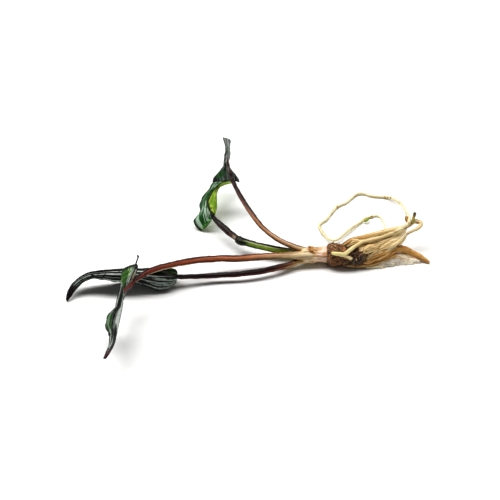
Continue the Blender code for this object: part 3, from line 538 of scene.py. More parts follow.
def veins(u, across, along, width):
    """How high the veins stand: lengthwise ones that meet at both ends, and slanting cross ones."""
    height = np.zeros_like(across)
    share = np.abs(across)
    for place in VEIN_PLACES:
        height += np.exp(-(((share - place) / VEIN_WIDTH) ** 2))
    slant = (along - 0.9 * share * width) / VEIN_SPACING
    cross = np.exp(-((((slant - np.round(slant)) * VEIN_SPACING) / CROSS_VEIN_WIDTH) ** 2))
    return np.minimum(1, height + 0.55 * cross) * np.sin(np.pi * np.clip(u, 0.02, 0.98)) ** 0.3


def add_blade(form, rows, ruffle, seed):
    """A closed leaf blade through the rows of points, with veins, a quilted face and a wavy,
    thin margin. Its upper side has side 1 and its underside -1. Returns its midrib's points,
    their directions down and their distances along."""
    count, columns = BLADE_ROWS, BLADE_COLUMNS
    middle = columns // 2
    sheet = smooth([smooth(row, columns) for row in rows], count)
    u, v = np.meshgrid(np.linspace(0, 1, count), np.linspace(-1, 1, columns), indexing="ij")
    along = run(sheet[:, middle])[:, None] * np.ones(columns)
    steps = np.linalg.norm(np.diff(sheet, axis=1), axis=-1)
    walked = np.pad(np.cumsum(steps, axis=1), ((0, 0), (1, 0)))
    across = walked - walked[:, middle : middle + 1]
    width = walked[:, -1:] / 2
    down = unit(np.cross(np.gradient(sheet, axis=0), np.gradient(sheet, axis=1)))
    soft = rough(triples(along * 0.32 + seed, across * 0.45, 0.0), 1.0, 3)
    fine = rough(triples(along * 0.9 + seed, across * 1.1, 4.0), 1.0, 3)
    edge = np.abs(v) ** 3 * np.sin(np.pi * np.clip(u, 0.0, 0.97)) ** 0.5
    share = np.clip(width / 3.5, 0.15, 1.0)
    phase = TAU * (along + 1.5 * soft) / RUFFLE_LENGTH + seed + 1.3 * np.sign(v)
    wave = ruffle * share * edge * np.sin(phase)
    relief = veins(u, v, along, width)
    quilt = 0.16 * (1 - relief) + 0.05 * fine
    sheet = sheet - down * (wave + share * (0.12 * soft * edge + quilt))[..., None]
    thin = np.sqrt(np.clip(1 - np.abs(v) ** 6, 0, 1))
    tip = np.sqrt(np.clip(1 - (2 * u - 1) ** 40, 0, 1))
    half = BLADE_THICKNESS / 2 * (0.22 + 0.78 * thin * tip)
    rib = np.exp(-((across / MIDRIB_WIDTH) ** 2)) * (1 - u) ** 0.5
    top = sheet - down * (half - 0.10 * rib * tip)[..., None]
    low = sheet + down * (half + 0.05 * relief * thin + 0.10 * rib)[..., None]
    spots = np.concatenate([triples(u, v, side) for side in (1.0, -1.0)])
    spans = np.concatenate([triples(across, side, along) for side in (1.0, -1.0)])
    form.add(np.concatenate([top, low]), sheet_faces(count, columns), spots, spans)
    return sheet[:, middle], down[:, middle], along[:, middle]


class Finish:
    """A procedural material, built with short calls. Numbers and sockets may both be given."""

    def __init__(self, name, roughness, **fixed):
        self.material = bpy.data.materials.new(name)
        self.material.use_nodes = True
        self.tree = self.material.node_tree
        self.shader = self.tree.nodes["Principled BSDF"]
        self.shader.inputs["Roughness"].default_value = roughness
        for title, value in fixed.items():
            self.shader.inputs[title.replace("_", " ")].default_value = value
        self.along, self.across, self.side, _ = self.split("spot")
        self.span_vector = self.split("span")[3]

    def node(self, kind, inputs, output=0, **settings):
        """The output of a new node. inputs are the values or sockets by name or number."""
        made = self.tree.nodes.new(kind)
        for title, value in settings.items():
            setattr(made, title, value)
        for title, value in inputs.items():
            socket = made.inputs[title]
            if isinstance(value, bpy.types.NodeSocket):
                self.tree.links.new(value, socket)
            else:
                socket.default_value = linear(value) if isinstance(value, str) else value
        return made.outputs[output]

    def split(self, attribute):
        vector = self.node("ShaderNodeAttribute", {}, "Vector", attribute_name=attribute)
        parts = self.node("ShaderNodeSeparateXYZ", {0: vector}).node
        return tuple(parts.outputs) + (vector,)

    def calc(self, operation, a, b=0.0, c=0.0):
        return self.node("ShaderNodeMath", {0: a, 1: b, 2: c}, operation=operation)

    def times(self, a, b):
        return self.calc("MULTIPLY", a, b)

    def swayed(self, value, noise, reach):
        """A value moved to and fro by noise, which has its middle at 0.5."""
        return self.calc("MULTIPLY_ADD", self.calc("SUBTRACT", noise, 0.5), reach, value)

    def step(self, value, low, high):
        """0 where the value is at low, 1 where it is at high, and smooth between them."""
        return self.node("ShaderNodeMapRange", {"Value": value, "From Min": low, "From Max": high},
                         "Result", interpolation_type="SMOOTHSTEP")

    def join(self, x, y, z):
        return self.node("ShaderNodeCombineXYZ", {0: x, 1: y, 2: z})

    def noise(self, vector, detail=3.0, distortion=0.0):
        return self.node("ShaderNodeTexNoise", {"Vector": vector, "Scale": 1.0, "Detail": detail,
                                                "Distortion": distortion}, "Fac")

    def grain(self, factors, detail=3.0, distortion=0.0):
        """Noise over the surface. factors are its scales across, through and along, per mm."""
        spread = self.node("ShaderNodeVectorMath", {0: self.span_vector, 1: factors},
                           operation="MULTIPLY")
        return self.noise(spread, detail, distortion)

    def mix(self, factor, a, b):
        return self.node("ShaderNodeMix", {"Factor": factor, 6: a, 7: b}, 2, data_type="RGBA")

    def stain(self, value, low, high, strength, under, code):
        """A colour laid over another where the value goes from low to high."""
        return self.mix(self.times(self.step(value, low, high), strength), under, code)

    def ramp(self, value, stops):
        ramp = self.node("ShaderNodeValToRGB", {0: value}).node
        band = ramp.color_ramp
        while len(band.elements) < len(stops):
            band.elements.new(0.5)
        for element, (place, code) in zip(band.elements, stops):
            element.position = place
            element.color = linear(code)
        return ramp.outputs[0]

    def patch(self, place, reach, ragged=None):
        """1 at a place (along, across) of the surface, falling to 0 at its reach."""
        du = self.calc("DIVIDE", self.calc("SUBTRACT", self.along, place[0]), reach[0])
        dv = self.calc("DIVIDE", self.calc("SUBTRACT", self.across, place[1]), reach[1])
        square = self.calc("ADD", self.times(du, du), self.times(dv, dv))
        if ragged is not None:
            square = self.swayed(square, ragged, 1.6)
        return self.step(square, 1.0, 0.15)

    def bump(self, height, distance, strength=1.0):
        lit = self.node("ShaderNodeBump", {"Strength": strength, "Distance": distance * MM, "Height": height})
        self.tree.links.new(lit, self.shader.inputs["Normal"])

    def colour(self, socket):
        self.tree.links.new(socket, self.shader.inputs["Base Color"])
        return self.material


def leaf_finish(name, upper, under, patches, streaks, margin, seed, fan=None, rim=(0.84, 0.92)):
    """A leaf's two sides. upper and under are (dark, streak) colours, patches are (side, (along,
    across), (reach), (dark, streak)), and streaks are (across scale, along scale, low, high). The
    streaks are partly pale veins and partly a painted sheen: silver reflections laid into the colour
    along them. fan, if given, is the (place, reach) on the underside where the streaks run across the
    leaf. rim is where the dark margin begins and is full."""
    skin = Finish(name, 0.40, Specular_IOR_Level=0.14)
    facing = skin.step(skin.side, -0.5, 0.5)
    lines = skin.noise(skin.join(skin.times(skin.across, streaks[0]), skin.calc("ADD", skin.side, seed),
                                 skin.times(skin.along, streaks[1])), 2.0, 0.3)
    cells = skin.grain((1.3, 1.0, 0.45), 4.0, 0.6)
    ragged = skin.grain((0.6, 0.6, 0.6), 4.0)
    if fan:
        cross = skin.noise(skin.join(skin.across, seed, skin.times(skin.along, 60.0)), 2.0, 0.2)
        here = skin.times(skin.patch(*fan), skin.calc("SUBTRACT", 1.0, facing))
        plain = skin.times(lines, skin.calc("SUBTRACT", 1.0, here))
        lines = skin.calc("ADD", plain, skin.times(cross, here))
    # Where the pale streaks lie: partly veins, partly a painted sheen of silver reflections.
    streak_sheen = skin.times(skin.step(lines, streaks[2], streaks[3]), skin.step(cells, 0.34, 0.46))
    dark = {1: upper[0], -1: under[0]}
    light = {1: upper[1], -1: under[1]}
    for side, place, reach, pair in patches:
        spot = skin.patch(place, reach, ragged)
        dark[side] = skin.mix(spot, dark[side], pair[0])
        light[side] = skin.mix(spot, light[side], pair[1])
    both = skin.mix(streak_sheen, skin.mix(facing, dark[-1], dark[1]), skin.mix(facing, light[-1], light[1]))
    edge = skin.swayed(skin.calc("ABSOLUTE", skin.across), ragged, 0.12)
    both = skin.stain(edge, rim[0], rim[1], 0.92, both, margin)
    skin.bump(skin.grain((5.0, 1.0, 2.2)), 0.06, 0.5)
    return skin.colour(both)


def stalk_finish(name, line_code, *bands):
    """A stalk. bands are ramps of colour along it, each with the side (1 up and back, -1 down and
    to the front) below which it begins. The bands by side are partly the stalk's own colours and
    partly painted light: painted shade along its upper and lower edges and a painted highlight line
    below its top."""
    skin = Finish(name, 0.36, Specular_IOR_Level=0.2)
    lines = skin.grain((1.3, 1.3, 0.09), 4.0, 0.3)
    blots = skin.grain((0.6, 0.6, 0.35), 4.0)
    shifted = skin.swayed(skin.along, blots, 0.10)
    turned = skin.swayed(skin.side, lines, 0.6)
    both = skin.ramp(shifted, bands[0][1])
    for begins, stops in bands[1:]:
        below = skin.step(turned, begins + 0.12, begins - 0.12)
        both = skin.mix(below, both, skin.ramp(shifted, stops))
    both = skin.stain(lines, 0.50, 0.66, 0.55, both, line_code)
    skin.bump(skin.grain((3.0, 3.0, 0.4)), 0.07, 0.6)
    return skin.colour(both)


def root_finish(name, pale, deep, spots, glow=0.0, gloss=0.45):
    """A root: a pale skin with golden lengthwise fibres and brown blotches. pale is one colour, or
    the colours along the root."""
    skin = Finish(name, gloss, Specular_IOR_Level=0.3, Subsurface_Weight=glow,
                  Subsurface_Radius=(MM * 0.8, MM * 0.7, MM * 0.4))
    broad = skin.grain((1.1, 1.1, 0.10), 3.0, 0.4)
    fibre = skin.grain((3.2, 3.2, 0.16), 4.0, 0.3)
    blots = skin.grain((0.5, 0.5, 0.32), 5.0, 0.4)
    ground = pale if isinstance(pale, str) else skin.ramp(skin.along, pale)
    golden = skin.calc("MULTIPLY_ADD", broad, 0.6, skin.times(fibre, 0.4))
    both = skin.mix(skin.step(golden, 0.50, 0.60), ground, deep)
    both = skin.stain(blots, 0.56, 0.68, 0.8, both, spots)
    skin.bump(fibre, 0.12, 0.8)
    return skin.colour(both)


def film_finish():
    """The thin skin beside the thick root: tan where it hangs from the root, pale at the ground."""
    skin = Finish("film", 0.4, Specular_IOR_Level=0.3, Subsurface_Weight=0.5,
                  Subsurface_Radius=(MM * 1.5, MM * 1.2, MM * 0.9))
    lines = skin.grain((1.6, 1.6, 0.10), 3.0, 0.4)
    both = skin.ramp(skin.across, [(0.0, "#c9a468"), (0.25, "#ecdcbc"), (0.6, "#faf2e2"), (1.0, "#f0e2c8")])
    both = skin.stain(lines, 0.50, 0.57, 0.75, both, "#cfa468")
    skin.bump(lines, 0.1, 0.6)
    return skin.colour(both)


def bark_finish():
    """The rhizome: near-black bark, orange-brown and fibrous at its left end and on top, tan
    toward its right end, with glossy dark knobs in the middle and pale specks."""
    skin = Finish("rhizome_bark", 0.5, Specular_IOR_Level=0.6)
    coarse = skin.grain((0.62, 0.62, 0.62), 4.0, 0.5)
    fibre = skin.grain((2.2, 2.2, 1.2), 4.0, 0.8)
    specks = skin.grain((1.9, 1.9, 1.9), 3.0, 0.6)
    pits = skin.grain((1.1, 1.1, 1.6), 3.0, 0.4)
    warm = skin.calc("MAXIMUM", skin.step(skin.along, 0.46, 0.34),
                     skin.times(skin.step(skin.side, 0.55, 0.95), 0.8))
    dark = skin.mix(skin.step(coarse, 0.44, 0.58), "#070303", "#2c1208")
    rusty = skin.mix(skin.step(coarse, 0.44, 0.54), "#260e06", "#9a5e2a")
    both = skin.mix(warm, dark, rusty)
    both = skin.stain(fibre, 0.54, 0.60, skin.calc("MULTIPLY_ADD", warm, 0.6, 0.25), both, "#b87c3c")
    both = skin.stain(pits, 0.55, 0.62, 0.85, both, "#0c0403")
    both = skin.stain(skin.along, 0.58, 0.84, 0.8, both, "#b78a4c")
    both = skin.stain(specks, 0.60, 0.64, 0.95, both, "#e2c294")
    skin.tree.links.new(skin.calc("MULTIPLY_ADD", warm, 0.35, 0.22), skin.shader.inputs["Roughness"])
    skin.bump(fibre, 0.35)
    return skin.colour(both)


def crown_finish():
    """The crown: pale pink-cream leaf bases with tan patches, brown slits and an olive underside."""
    skin = Finish("crown_skin", 0.42, Specular_IOR_Level=0.35, Subsurface_Weight=0.12,
                  Subsurface_Radius=(MM * 1.2, MM * 0.7, MM * 0.4))
    lines = skin.grain((1.1, 1.1, 0.16), 4.0, 0.5)
    blots = skin.grain((0.42, 0.42, 0.42), 4.0, 0.3)
    both = skin.ramp(skin.along, [(0.0, "#dcca9e"), (0.40, "#e2caa4"), (0.62, "#ecd0bc"), (0.85, "#e8c6b4"),
                                  (1.0, "#b07a50")])
    both = skin.stain(blots, 0.50, 0.60, 0.75, both, "#cf9a5c")
    both = skin.stain(lines, 0.56, 0.64, 0.75, both, "#8a5428")
    both = skin.stain(skin.side, -0.35, -0.9, 0.5, both, "#b9a86c")
    skin.bump(lines, 0.25, 0.9)
    return skin.colour(both)


def knobs(x, turn):
    """How far the root scars stand out of the rhizome: bumps set in a spiral along it."""
    height = np.zeros(np.broadcast(x, turn).shape)
    length = RHIZOME_RIGHT - RHIZOME_LEFT
    for k in range(KNOBS):
        knob_x = RHIZOME_LEFT + KNOB_MARGIN + (length - 2 * KNOB_MARGIN) * k / (KNOBS - 1)
        apart = (turn - k * GOLDEN_ANGLE + math.pi) % TAU - math.pi
        distance = np.hypot(x - knob_x, RHIZOME_RADIUS * apart)
        height = np.maximum(height, KNOB_HEIGHT * np.exp(-((distance / KNOB_SPREAD) ** 2)))
    return height


def bark(points):
    """Fine relief of the rhizome: lumps, pits, a rough grain and creases across it."""
    lumps = rough(points, 0.55, 4)
    grain = rough(points * np.array([0.6, 1.0, 1.0]), 2.2, 3)
    creases = np.zeros(points.shape[:-1])
    for place, width, depth in BARK_CREASES:
        shifted = points[..., 0] - place + 0.5 * lumps
        creases += depth * np.exp(-((shifted / width) ** 2))
    return 0.55 * lumps + 0.42 * grain - 0.35 * np.clip(lumps - 0.35, 0, 1) - creases


def wraps(x, turn):
    """Overlapping leaf bases: lengthwise folds that run round the crown."""
    return 0.16 * (np.sin(3 * turn + 0.5 * x) + 0.5 * np.sin(7 * turn - 0.35 * x))


def furrows(points):
    """Fine relief of the crown, drawn out lengthwise."""
    return 0.16 * rough(points * np.array([0.3, 1.0, 1.0]), 1.3, 4)


def lump(x, y, z, reach, lean, size, tip=0.6):
    """The route of a small lump round a point, thinner at both ends. reach and lean are how far
    its ends lie from the point along X and Y."""
    return [(x - reach, y - lean, z, 0.6 * size), (x, y, z, size), (x + reach, y + lean, z, tip * size)]


def build_rhizome(bark_skin, husk_skin, draws):
    """The rhizome, with hair-like fibres, root scars and papery ribbons at its right end."""
    form = Form()
    add_log(form, RHIZOME_AXIS, rings=190, sides=150, proud=knobs, detail=bark)
    form.build("rhizome_log", "rhizome_bark", bark_skin, node="rhizome")
    form = Form()
    steps = np.linspace(0, 1, 5)
    for _ in range(HAIRS):
        x = draws.uniform(RHIZOME_LEFT + 0.2, 5.5)
        turn = draws.uniform(-0.9, math.pi + 0.9)
        length = draws.uniform(0.8, 3.0) * draws.choice([-1, 1])
        turns = turn + draws.uniform(-0.35, 0.35) * steps
        lift = draws.uniform(0.05, 0.5)
        thick = draws.uniform(0.04, 0.10)
        xs = np.clip(x + length * steps, RHIZOME_LEFT + 0.1, RHIZOME_RIGHT)
        proud = knobs(xs, turns) + 0.1 + lift * np.sin(math.pi * steps) * steps
        places = grown(xs, turns, RHIZOME_AXIS, proud)
        places[:, 2] = np.maximum(places[:, 2], 0.15)
        add_tube(form, np.column_stack([places, thick * (1 - 0.6 * steps)]), 8, 6, ends=(0.1, 0.3))
    form.build("rhizome_hairs", "rhizome_bark", bark_skin)
    form = Form()
    for _ in range(SCARS):
        x = draws.uniform(-4.5, 4.6)
        turn = draws.uniform(0.5, math.pi + 0.5)
        size = draws.uniform(0.3, 0.6)
        place = grown(x, turn, RHIZOME_AXIS, knobs(x, turn) + 0.15)
        place[2] = max(place[2], size)
        route = lump(*place, 0.6 * size, draws.uniform(-0.5, 0.5) * size, size)
        add_tube(form, route, 12, 12, ridges(4, 0.12, 0.2, 0.3, 5.0 * x), ends=(0.3, 0.3))
    form.build("rhizome_scars", "rhizome_bark", bark_skin)
    form = Form()
    steps = np.linspace(0, 1, 6)
    for _ in range(HUSKS):
        turn = draws.uniform(-0.9, math.pi + 0.9)
        x = draws.uniform(2.8, 6.0) - 4.4 * max(0.0, math.cos(turn - 1.2))
        xs = x + draws.uniform(4.5, 8.5) * steps
        turns = turn + draws.uniform(-0.25, 0.25) * steps
        thick = draws.uniform(0.25, 0.75)
        places = grown(xs, turns, RHIZOME_AXIS, knobs(xs, turns) + 0.05 + 0.3 * steps)
        beyond = np.maximum(0, xs - RHIZOME_RIGHT)
        places[:, 1] += beyond * 0.35
        places[:, 2] = np.maximum(places[:, 2] + beyond * 0.25, 0.2)
        route = np.column_stack([places, thick * (0.75 + 0.5 * np.sin(math.pi * steps))])
        add_tube(form, route, 22, 14, ridges(5, 0.08, 0.1, 0.3, 3.0 * turn), flat=0.3, wander=0.12,
                 ends=(0.6, 1.2), face=(0, math.cos(turn), math.sin(turn)))
    form.build("rhizome_husk", "tan_root", husk_skin)


def build_crown(skin, rim_skin, draws):
    """The crown, and on it the torn rim of an old leaf with loose threads and fine slits."""
    form = Form()
    add_log(form, CROWN_AXIS, rings=90, sides=120, proud=wraps, detail=furrows)
    form.build("crown_bases", "crown_skin", skin, node="crown")
    form = Form()
    count, columns = 60, 12
    for first, last, place, length in ((0.7, 2.0, -16.6, 2.3), (-0.7, 0.5, -17.2, 1.4)):
        turn, share = np.meshgrid(np.linspace(first, last, count), np.linspace(0, 1, columns), indexing="ij")
        tear = rough(triples(turn * 2.6 + place, 0.0, 0.0), 1.0, 4)
        fade = np.sin(math.pi * np.clip((turn - first) / (last - first), 0.03, 0.97)) ** 0.4
        x = place - share * fade * length * (0.85 + 0.6 * tear)
        proud = 0.02 + 0.75 * share**2 * fade * (1 + 0.7 * tear) + 0.10 * np.sin(9 * turn + 2 * share)
        middle = grown(x, turn, CROWN_AXIS, proud + wraps(x, turn))
        half = triples(0.0, np.cos(turn), np.sin(turn)) * (0.18 * (1 - share**4) + 0.03)[..., None]
        grid = np.concatenate([middle + half, middle - half])
        spots = np.tile(triples(share, np.cos(turn), np.sin(turn)), (2, 1, 1))
        form.add(grid, sheet_faces(count, columns), spots, grid[..., [1, 2, 0]])
    steps = np.linspace(0, 1, 4)
    for _ in range(THREADS):
        turns = draws.uniform(0.2, 2.0) + 0.15 * steps
        start = draws.uniform(-17.6, -16.6)
        xs = start - draws.uniform(0.8, 2.6) * steps
        places = grown(xs, turns, CROWN_AXIS, 0.15 + draws.uniform(0.1, 0.5) * steps**2)
        add_tube(form, np.column_stack([places, 0.09 * (1 - 0.6 * steps)]), 8, 6, ends=(0.1, 0.3))
    for _ in range(SLITS):
        turns = draws.uniform(1.2, math.pi + 0.9) + 0.1 * steps
        start = draws.uniform(-20.6, -15.0)
        xs = start + draws.uniform(1.0, 3.2) * steps
        places = grown(xs, turns, CROWN_AXIS, wraps(xs, turns) + 0.03)
        add_tube(form, np.column_stack([places, 0.10 * (1 - 0.5 * steps)]), 10, 6, ends=(0.3, 0.5))
    form.build("crown_torn_rim", "crown_skin", rim_skin)


def build_stalks(skins):
    stalks = (
        ("back_stalk", BACK_STALK, "back_leaf_stalk", "copper_stalk", "copper_stalk", 9, 2.0),
        ("front_stalk", FRONT_STALK, "front_leaf_stalk", "red_stalk", "red_stalk", 11, 5.0),
        ("side_stalk", SIDE_STALK, "side_leaf_stalk", "dark_stalk", "dark_stalk", 9, 9.0),
        ("folded_sheath", SHEATH, "folded_leaf_sheath", "green_sheath", "green_sheath", 8, 13.0),
        ("folded_stalk", FOLDED_STALK, "folded_leaf_stalk", "dark_stalk_bend", "dark_stalk", 9, 17.0),
    )
    for name, route, node, skin, slot, count, seed in stalks:
        form = Form()
        add_tube(form, route, 26 * len(route), 32, ridges(count, 0.035, 0.02, 0.10, seed), wander=0.10,
                 ends=(0.6, 0.5))
        form.build(name, slot, skins[skin], node=node)


def build_blades(skins):
    """The blades. Each midrib starts inside the end of its stalk and runs on along one face."""
    blades = (
        ("back_blade", BACK_BLADE, "back_leaf_blade", "back_leaf", "copper_rib", "dark_leaf", BACK_STALK,
         0.08, 3.0, 0.62, 0.10, 0.5, -1),
        ("folded_blade", FOLDED_BLADE, "folded_leaf_blade", "green_leaf", "dark_rib", "green_leaf",
         FOLDED_STALK, 0.30, 11.0, 0.6, 0.0, 0.45, 1),
        ("front_blade", FRONT_BLADE, "front_leaf_blade", "silver_leaf", "red_rib", "silver_leaf",
         FRONT_STALK, 0.25, 21.0, 0.9, 0.04, 0.32, 1),
        ("side_blade", SIDE_BLADE, "side_leaf_blade", "side_leaf", "dark_rib", "dark_leaf", SIDE_STALK,
         0.20, 31.0, 0.5, 0.06, 0.30, 1),
    )
    for name, rows, node, skin, rib_skin, slot, stalk, ruffle, seed, rib, begin, reach, face in blades:
        form = Form()
        midrib, down, along = add_blade(form, rows, ruffle, seed)
        last = BLADE_ROWS - 1
        steps = np.linspace(int(begin * last), int(reach * last), 12).astype(int)
        share = (along[steps] - along[steps[0]]) / (along[steps[-1]] - along[steps[0]])
        radius = rib * (1 - share) ** 0.8 + 0.12
        points = midrib[steps] + face * down[steps] * (0.10 + 0.35 * radius)[:, None]
        route = np.concatenate([stalk[-2:], np.column_stack([points, radius])[1:]])
        add_tube(form, route, 130, 16, ridges(5, 0.04, 0.02, 0.06, seed), ends=(0.3, 0.8), kind=1)
        form.build(name, slot, skins[skin], skins[rib_skin], node=node)


def build_roots(skins):
    roots = (
        ("upper_root_strand", UPPER_ROOT, "upper_root", "upper_root", "tan_root", 0.85, 9, 0.07, 20),
        ("long_root_strand", LONG_ROOT, "long_root", "long_root", "pale_root", 1.0, 6, 0.03, 16),
        ("middle_root_strand", MIDDLE_ROOT, "middle_root", "tan_root", "tan_root", 0.5, 9, 0.08, 30),
        ("lower_middle_root_strand", LOWER_MIDDLE_ROOT, "lower_middle_root", "tan_root", "tan_root",
         0.6, 9, 0.08, 30),
        ("thick_root_strand", THICK_ROOT, "thick_root", "brown_root", "brown_root", 1.0, 12, 0.06, 26),
        ("low_root_strand", LOW_ROOT, "low_root", "pale_root", "pale_root", 0.9, 6, 0.04, 26),
        ("dark_stub_tip", DARK_ROOT_STUB, "dark_root_stub", "olive_root", "olive_root", 1.0, 7, 0.06, 30),
        ("brown_stub_tip", BROWN_ROOT_STUB, "brown_root_stub", "torn_rim", "brown_root", 1.0, 7, 0.12, 30),
        ("root_bud_tip", ROOT_BUD, "root_bud", "tan_root", "tan_root", 1.0, 6, 0.06, 30),
    )
    for seed, (name, route, node, skin, slot, flat, count, depth, density) in enumerate(roots):
        form = Form()
        add_tube(form, route, density * len(route), 24, ridges(count, depth, 0.04, 0.14, 40.0 + 3 * seed),
                 flat=flat, wander=0.14, ends=(0.3, 0.6), face=FAN_FACE if flat < 0.7 else (0, 0, 1))
        form.build(name, slot, skins[skin], node=node)
    for name, strands, flat, count, skin in (("fan_strands", FAN_STRANDS, 0.40, 9, "tan_root"),
                                             ("lower_strands", LOWER_STRANDS, 0.40, 9, "ochre_root"),
                                             ("fan_skin", FAN_SKIN, 0.16, 26, "tan_root")):
        form = Form()
        for seed, route in enumerate(strands):
            add_tube(form, route, 140, 56, ridges(count, 0.06, 0.05, 0.12, 70.0 + seed), flat=flat,
                     wander=0.2, ends=(0.5, 0.8), face=FAN_FACE)
        form.build(name, "tan_root", skins[skin])


def build_film(skin):
    """The thin skin that hangs from the thick root to the ground, with a tattered lower edge."""
    form = Form()
    count, columns = 80, 16
    u, v = np.meshgrid(np.linspace(0, 1, count), np.linspace(0, 1, columns), indexing="ij")
    top, foot = smooth(FILM_TOP, count)[:, None], smooth(FILM_FOOT, count)[:, None]
    grid = top * (1 - v[..., None]) + foot * v[..., None]
    ease = np.sin(math.pi * v)
    grid[..., 2] += 0.35 * ease * (1 + rough(grid, 0.35, 3))
    grid[..., 1] -= 0.4 * ease * rough(grid + 5.0, 0.5, 3)
    grid[..., 1] += 0.9 * v**3 * rough(triples(grid[..., 0] * 0.5, 0.0, 0.0), 1.0, 3)
    half = np.array([0.0, 0.03, 0.05])
    both = np.concatenate([grid + half, grid - half])
    spots = np.tile(triples(u, v, 0.0), (2, 1, 1))
    form.add(both, sheet_faces(count, columns), spots, both[..., [1, 2, 0]])
    form.build("root_film", "pale_root", skin)


def build_trifles(skins, draws):
    """Tendril and spur on the front leaf, the thin skin, and bits of debris on the roots."""
    form = Form()
    add_tube(form, LEAF_TENDRIL, 60, 12, ridges(4, 0.08, 0.1, 0.2, 3.0), ends=(0.2, 0.3))
    add_tube(form, LEAF_SPUR, 50, 12, ridges(4, 0.08, 0.1, 0.2, 5.0), flat=0.6, ends=(0.2, 0.6))
    form.build("front_blade_spurs", "dark_leaf", skins["dark_rib"])
    form = Form()
    add_tube(form, GREEN_BIT, 40, 14, ridges(4, 0.15, 0.3, 0.3, 8.0), ends=(0.2, 0.4))
    form.build("green_bit", "olive_root", skins["green_bit"])
    form = Form()
    for seed, route in enumerate(TORN_BITS):
        add_tube(form, route, 40, 14, ridges(5, 0.2, 0.3, 0.4, 90.0 + seed), flat=0.5, ends=(0.3, 0.5))
    form.build("torn_bits", "brown_root", skins["crumb"])
    build_film(film_finish())
    form = Form()
    for x, y, z in CRUMBS:
        size = draws.uniform(0.34, 0.56)
        route = lump(x, y, z, size, draws.uniform(-1, 1) * size, size, 0.55)
        add_tube(form, route, 14, 12, ridges(3, 0.2, 0.3, 0.5, x), flat=0.7, ends=(0.2, 0.2))
    form.build("root_crumbs", "brown_root", skins["crumb"])


# The looks of roots and ribs, as root_finish takes them.
ROOT_LOOKS = {
    "tan_root": ("#ecd8a8", "#c49a58", "#a0703a"),
    "ochre_root": ("#d6ab6a", "#9c6a30", "#74481c"),
    "green_bit": ("#8c9a30", "#5c6418", "#3a3a10", 0.05),
    "upper_root": ([(0.0, "#341a0a"), (0.11, "#7a4a20"), (0.18, "#b48444"), (0.27, "#e6cf9c"),
                    (1.0, "#ecd9ae")], "#c49a58", "#a0703a"),
    "pale_root": ("#f0e6c4", "#dccb98", "#b8985a", 0.2),
    "long_root": ([(0.0, "#f0e298"), (0.05, "#f2e6a8"), (0.075, "#e2c890"), (0.165, "#e2cb98"),
                   (0.19, "#e8dcb8"), (1.0, "#e9deb0")], "#d3c08a", "#a98c50", 0.08),
    "brown_root": ("#cf9d58", "#9a6628", "#7a4a1c"),
    "olive_root": ([(0.0, "#b4a85e"), (0.55, "#a39848"), (0.72, "#5c4a20"), (1.0, "#2e200e")],
                   "#6e6430", "#3a2e14", 0.05),
    "crumb": ("#b08c50", "#86642e", "#54391a", 0.0, 0.7),
    "husk": ("#e2c68e", "#a87c42", "#7a5026", 0.0, 0.5),
    "torn_rim": ("#b98844", "#865624", "#5a3814", 0.0, 0.55),
    "copper_rib": ("#3a1a16", "#1c0b0a", "#100606", 0.0, 0.35),
    "red_rib": ("#5c2014", "#3a120a", "#200a06", 0.0, 0.35),
    "dark_rib": ("#1c0e0e", "#100707", "#080505", 0.0, 0.35),
}
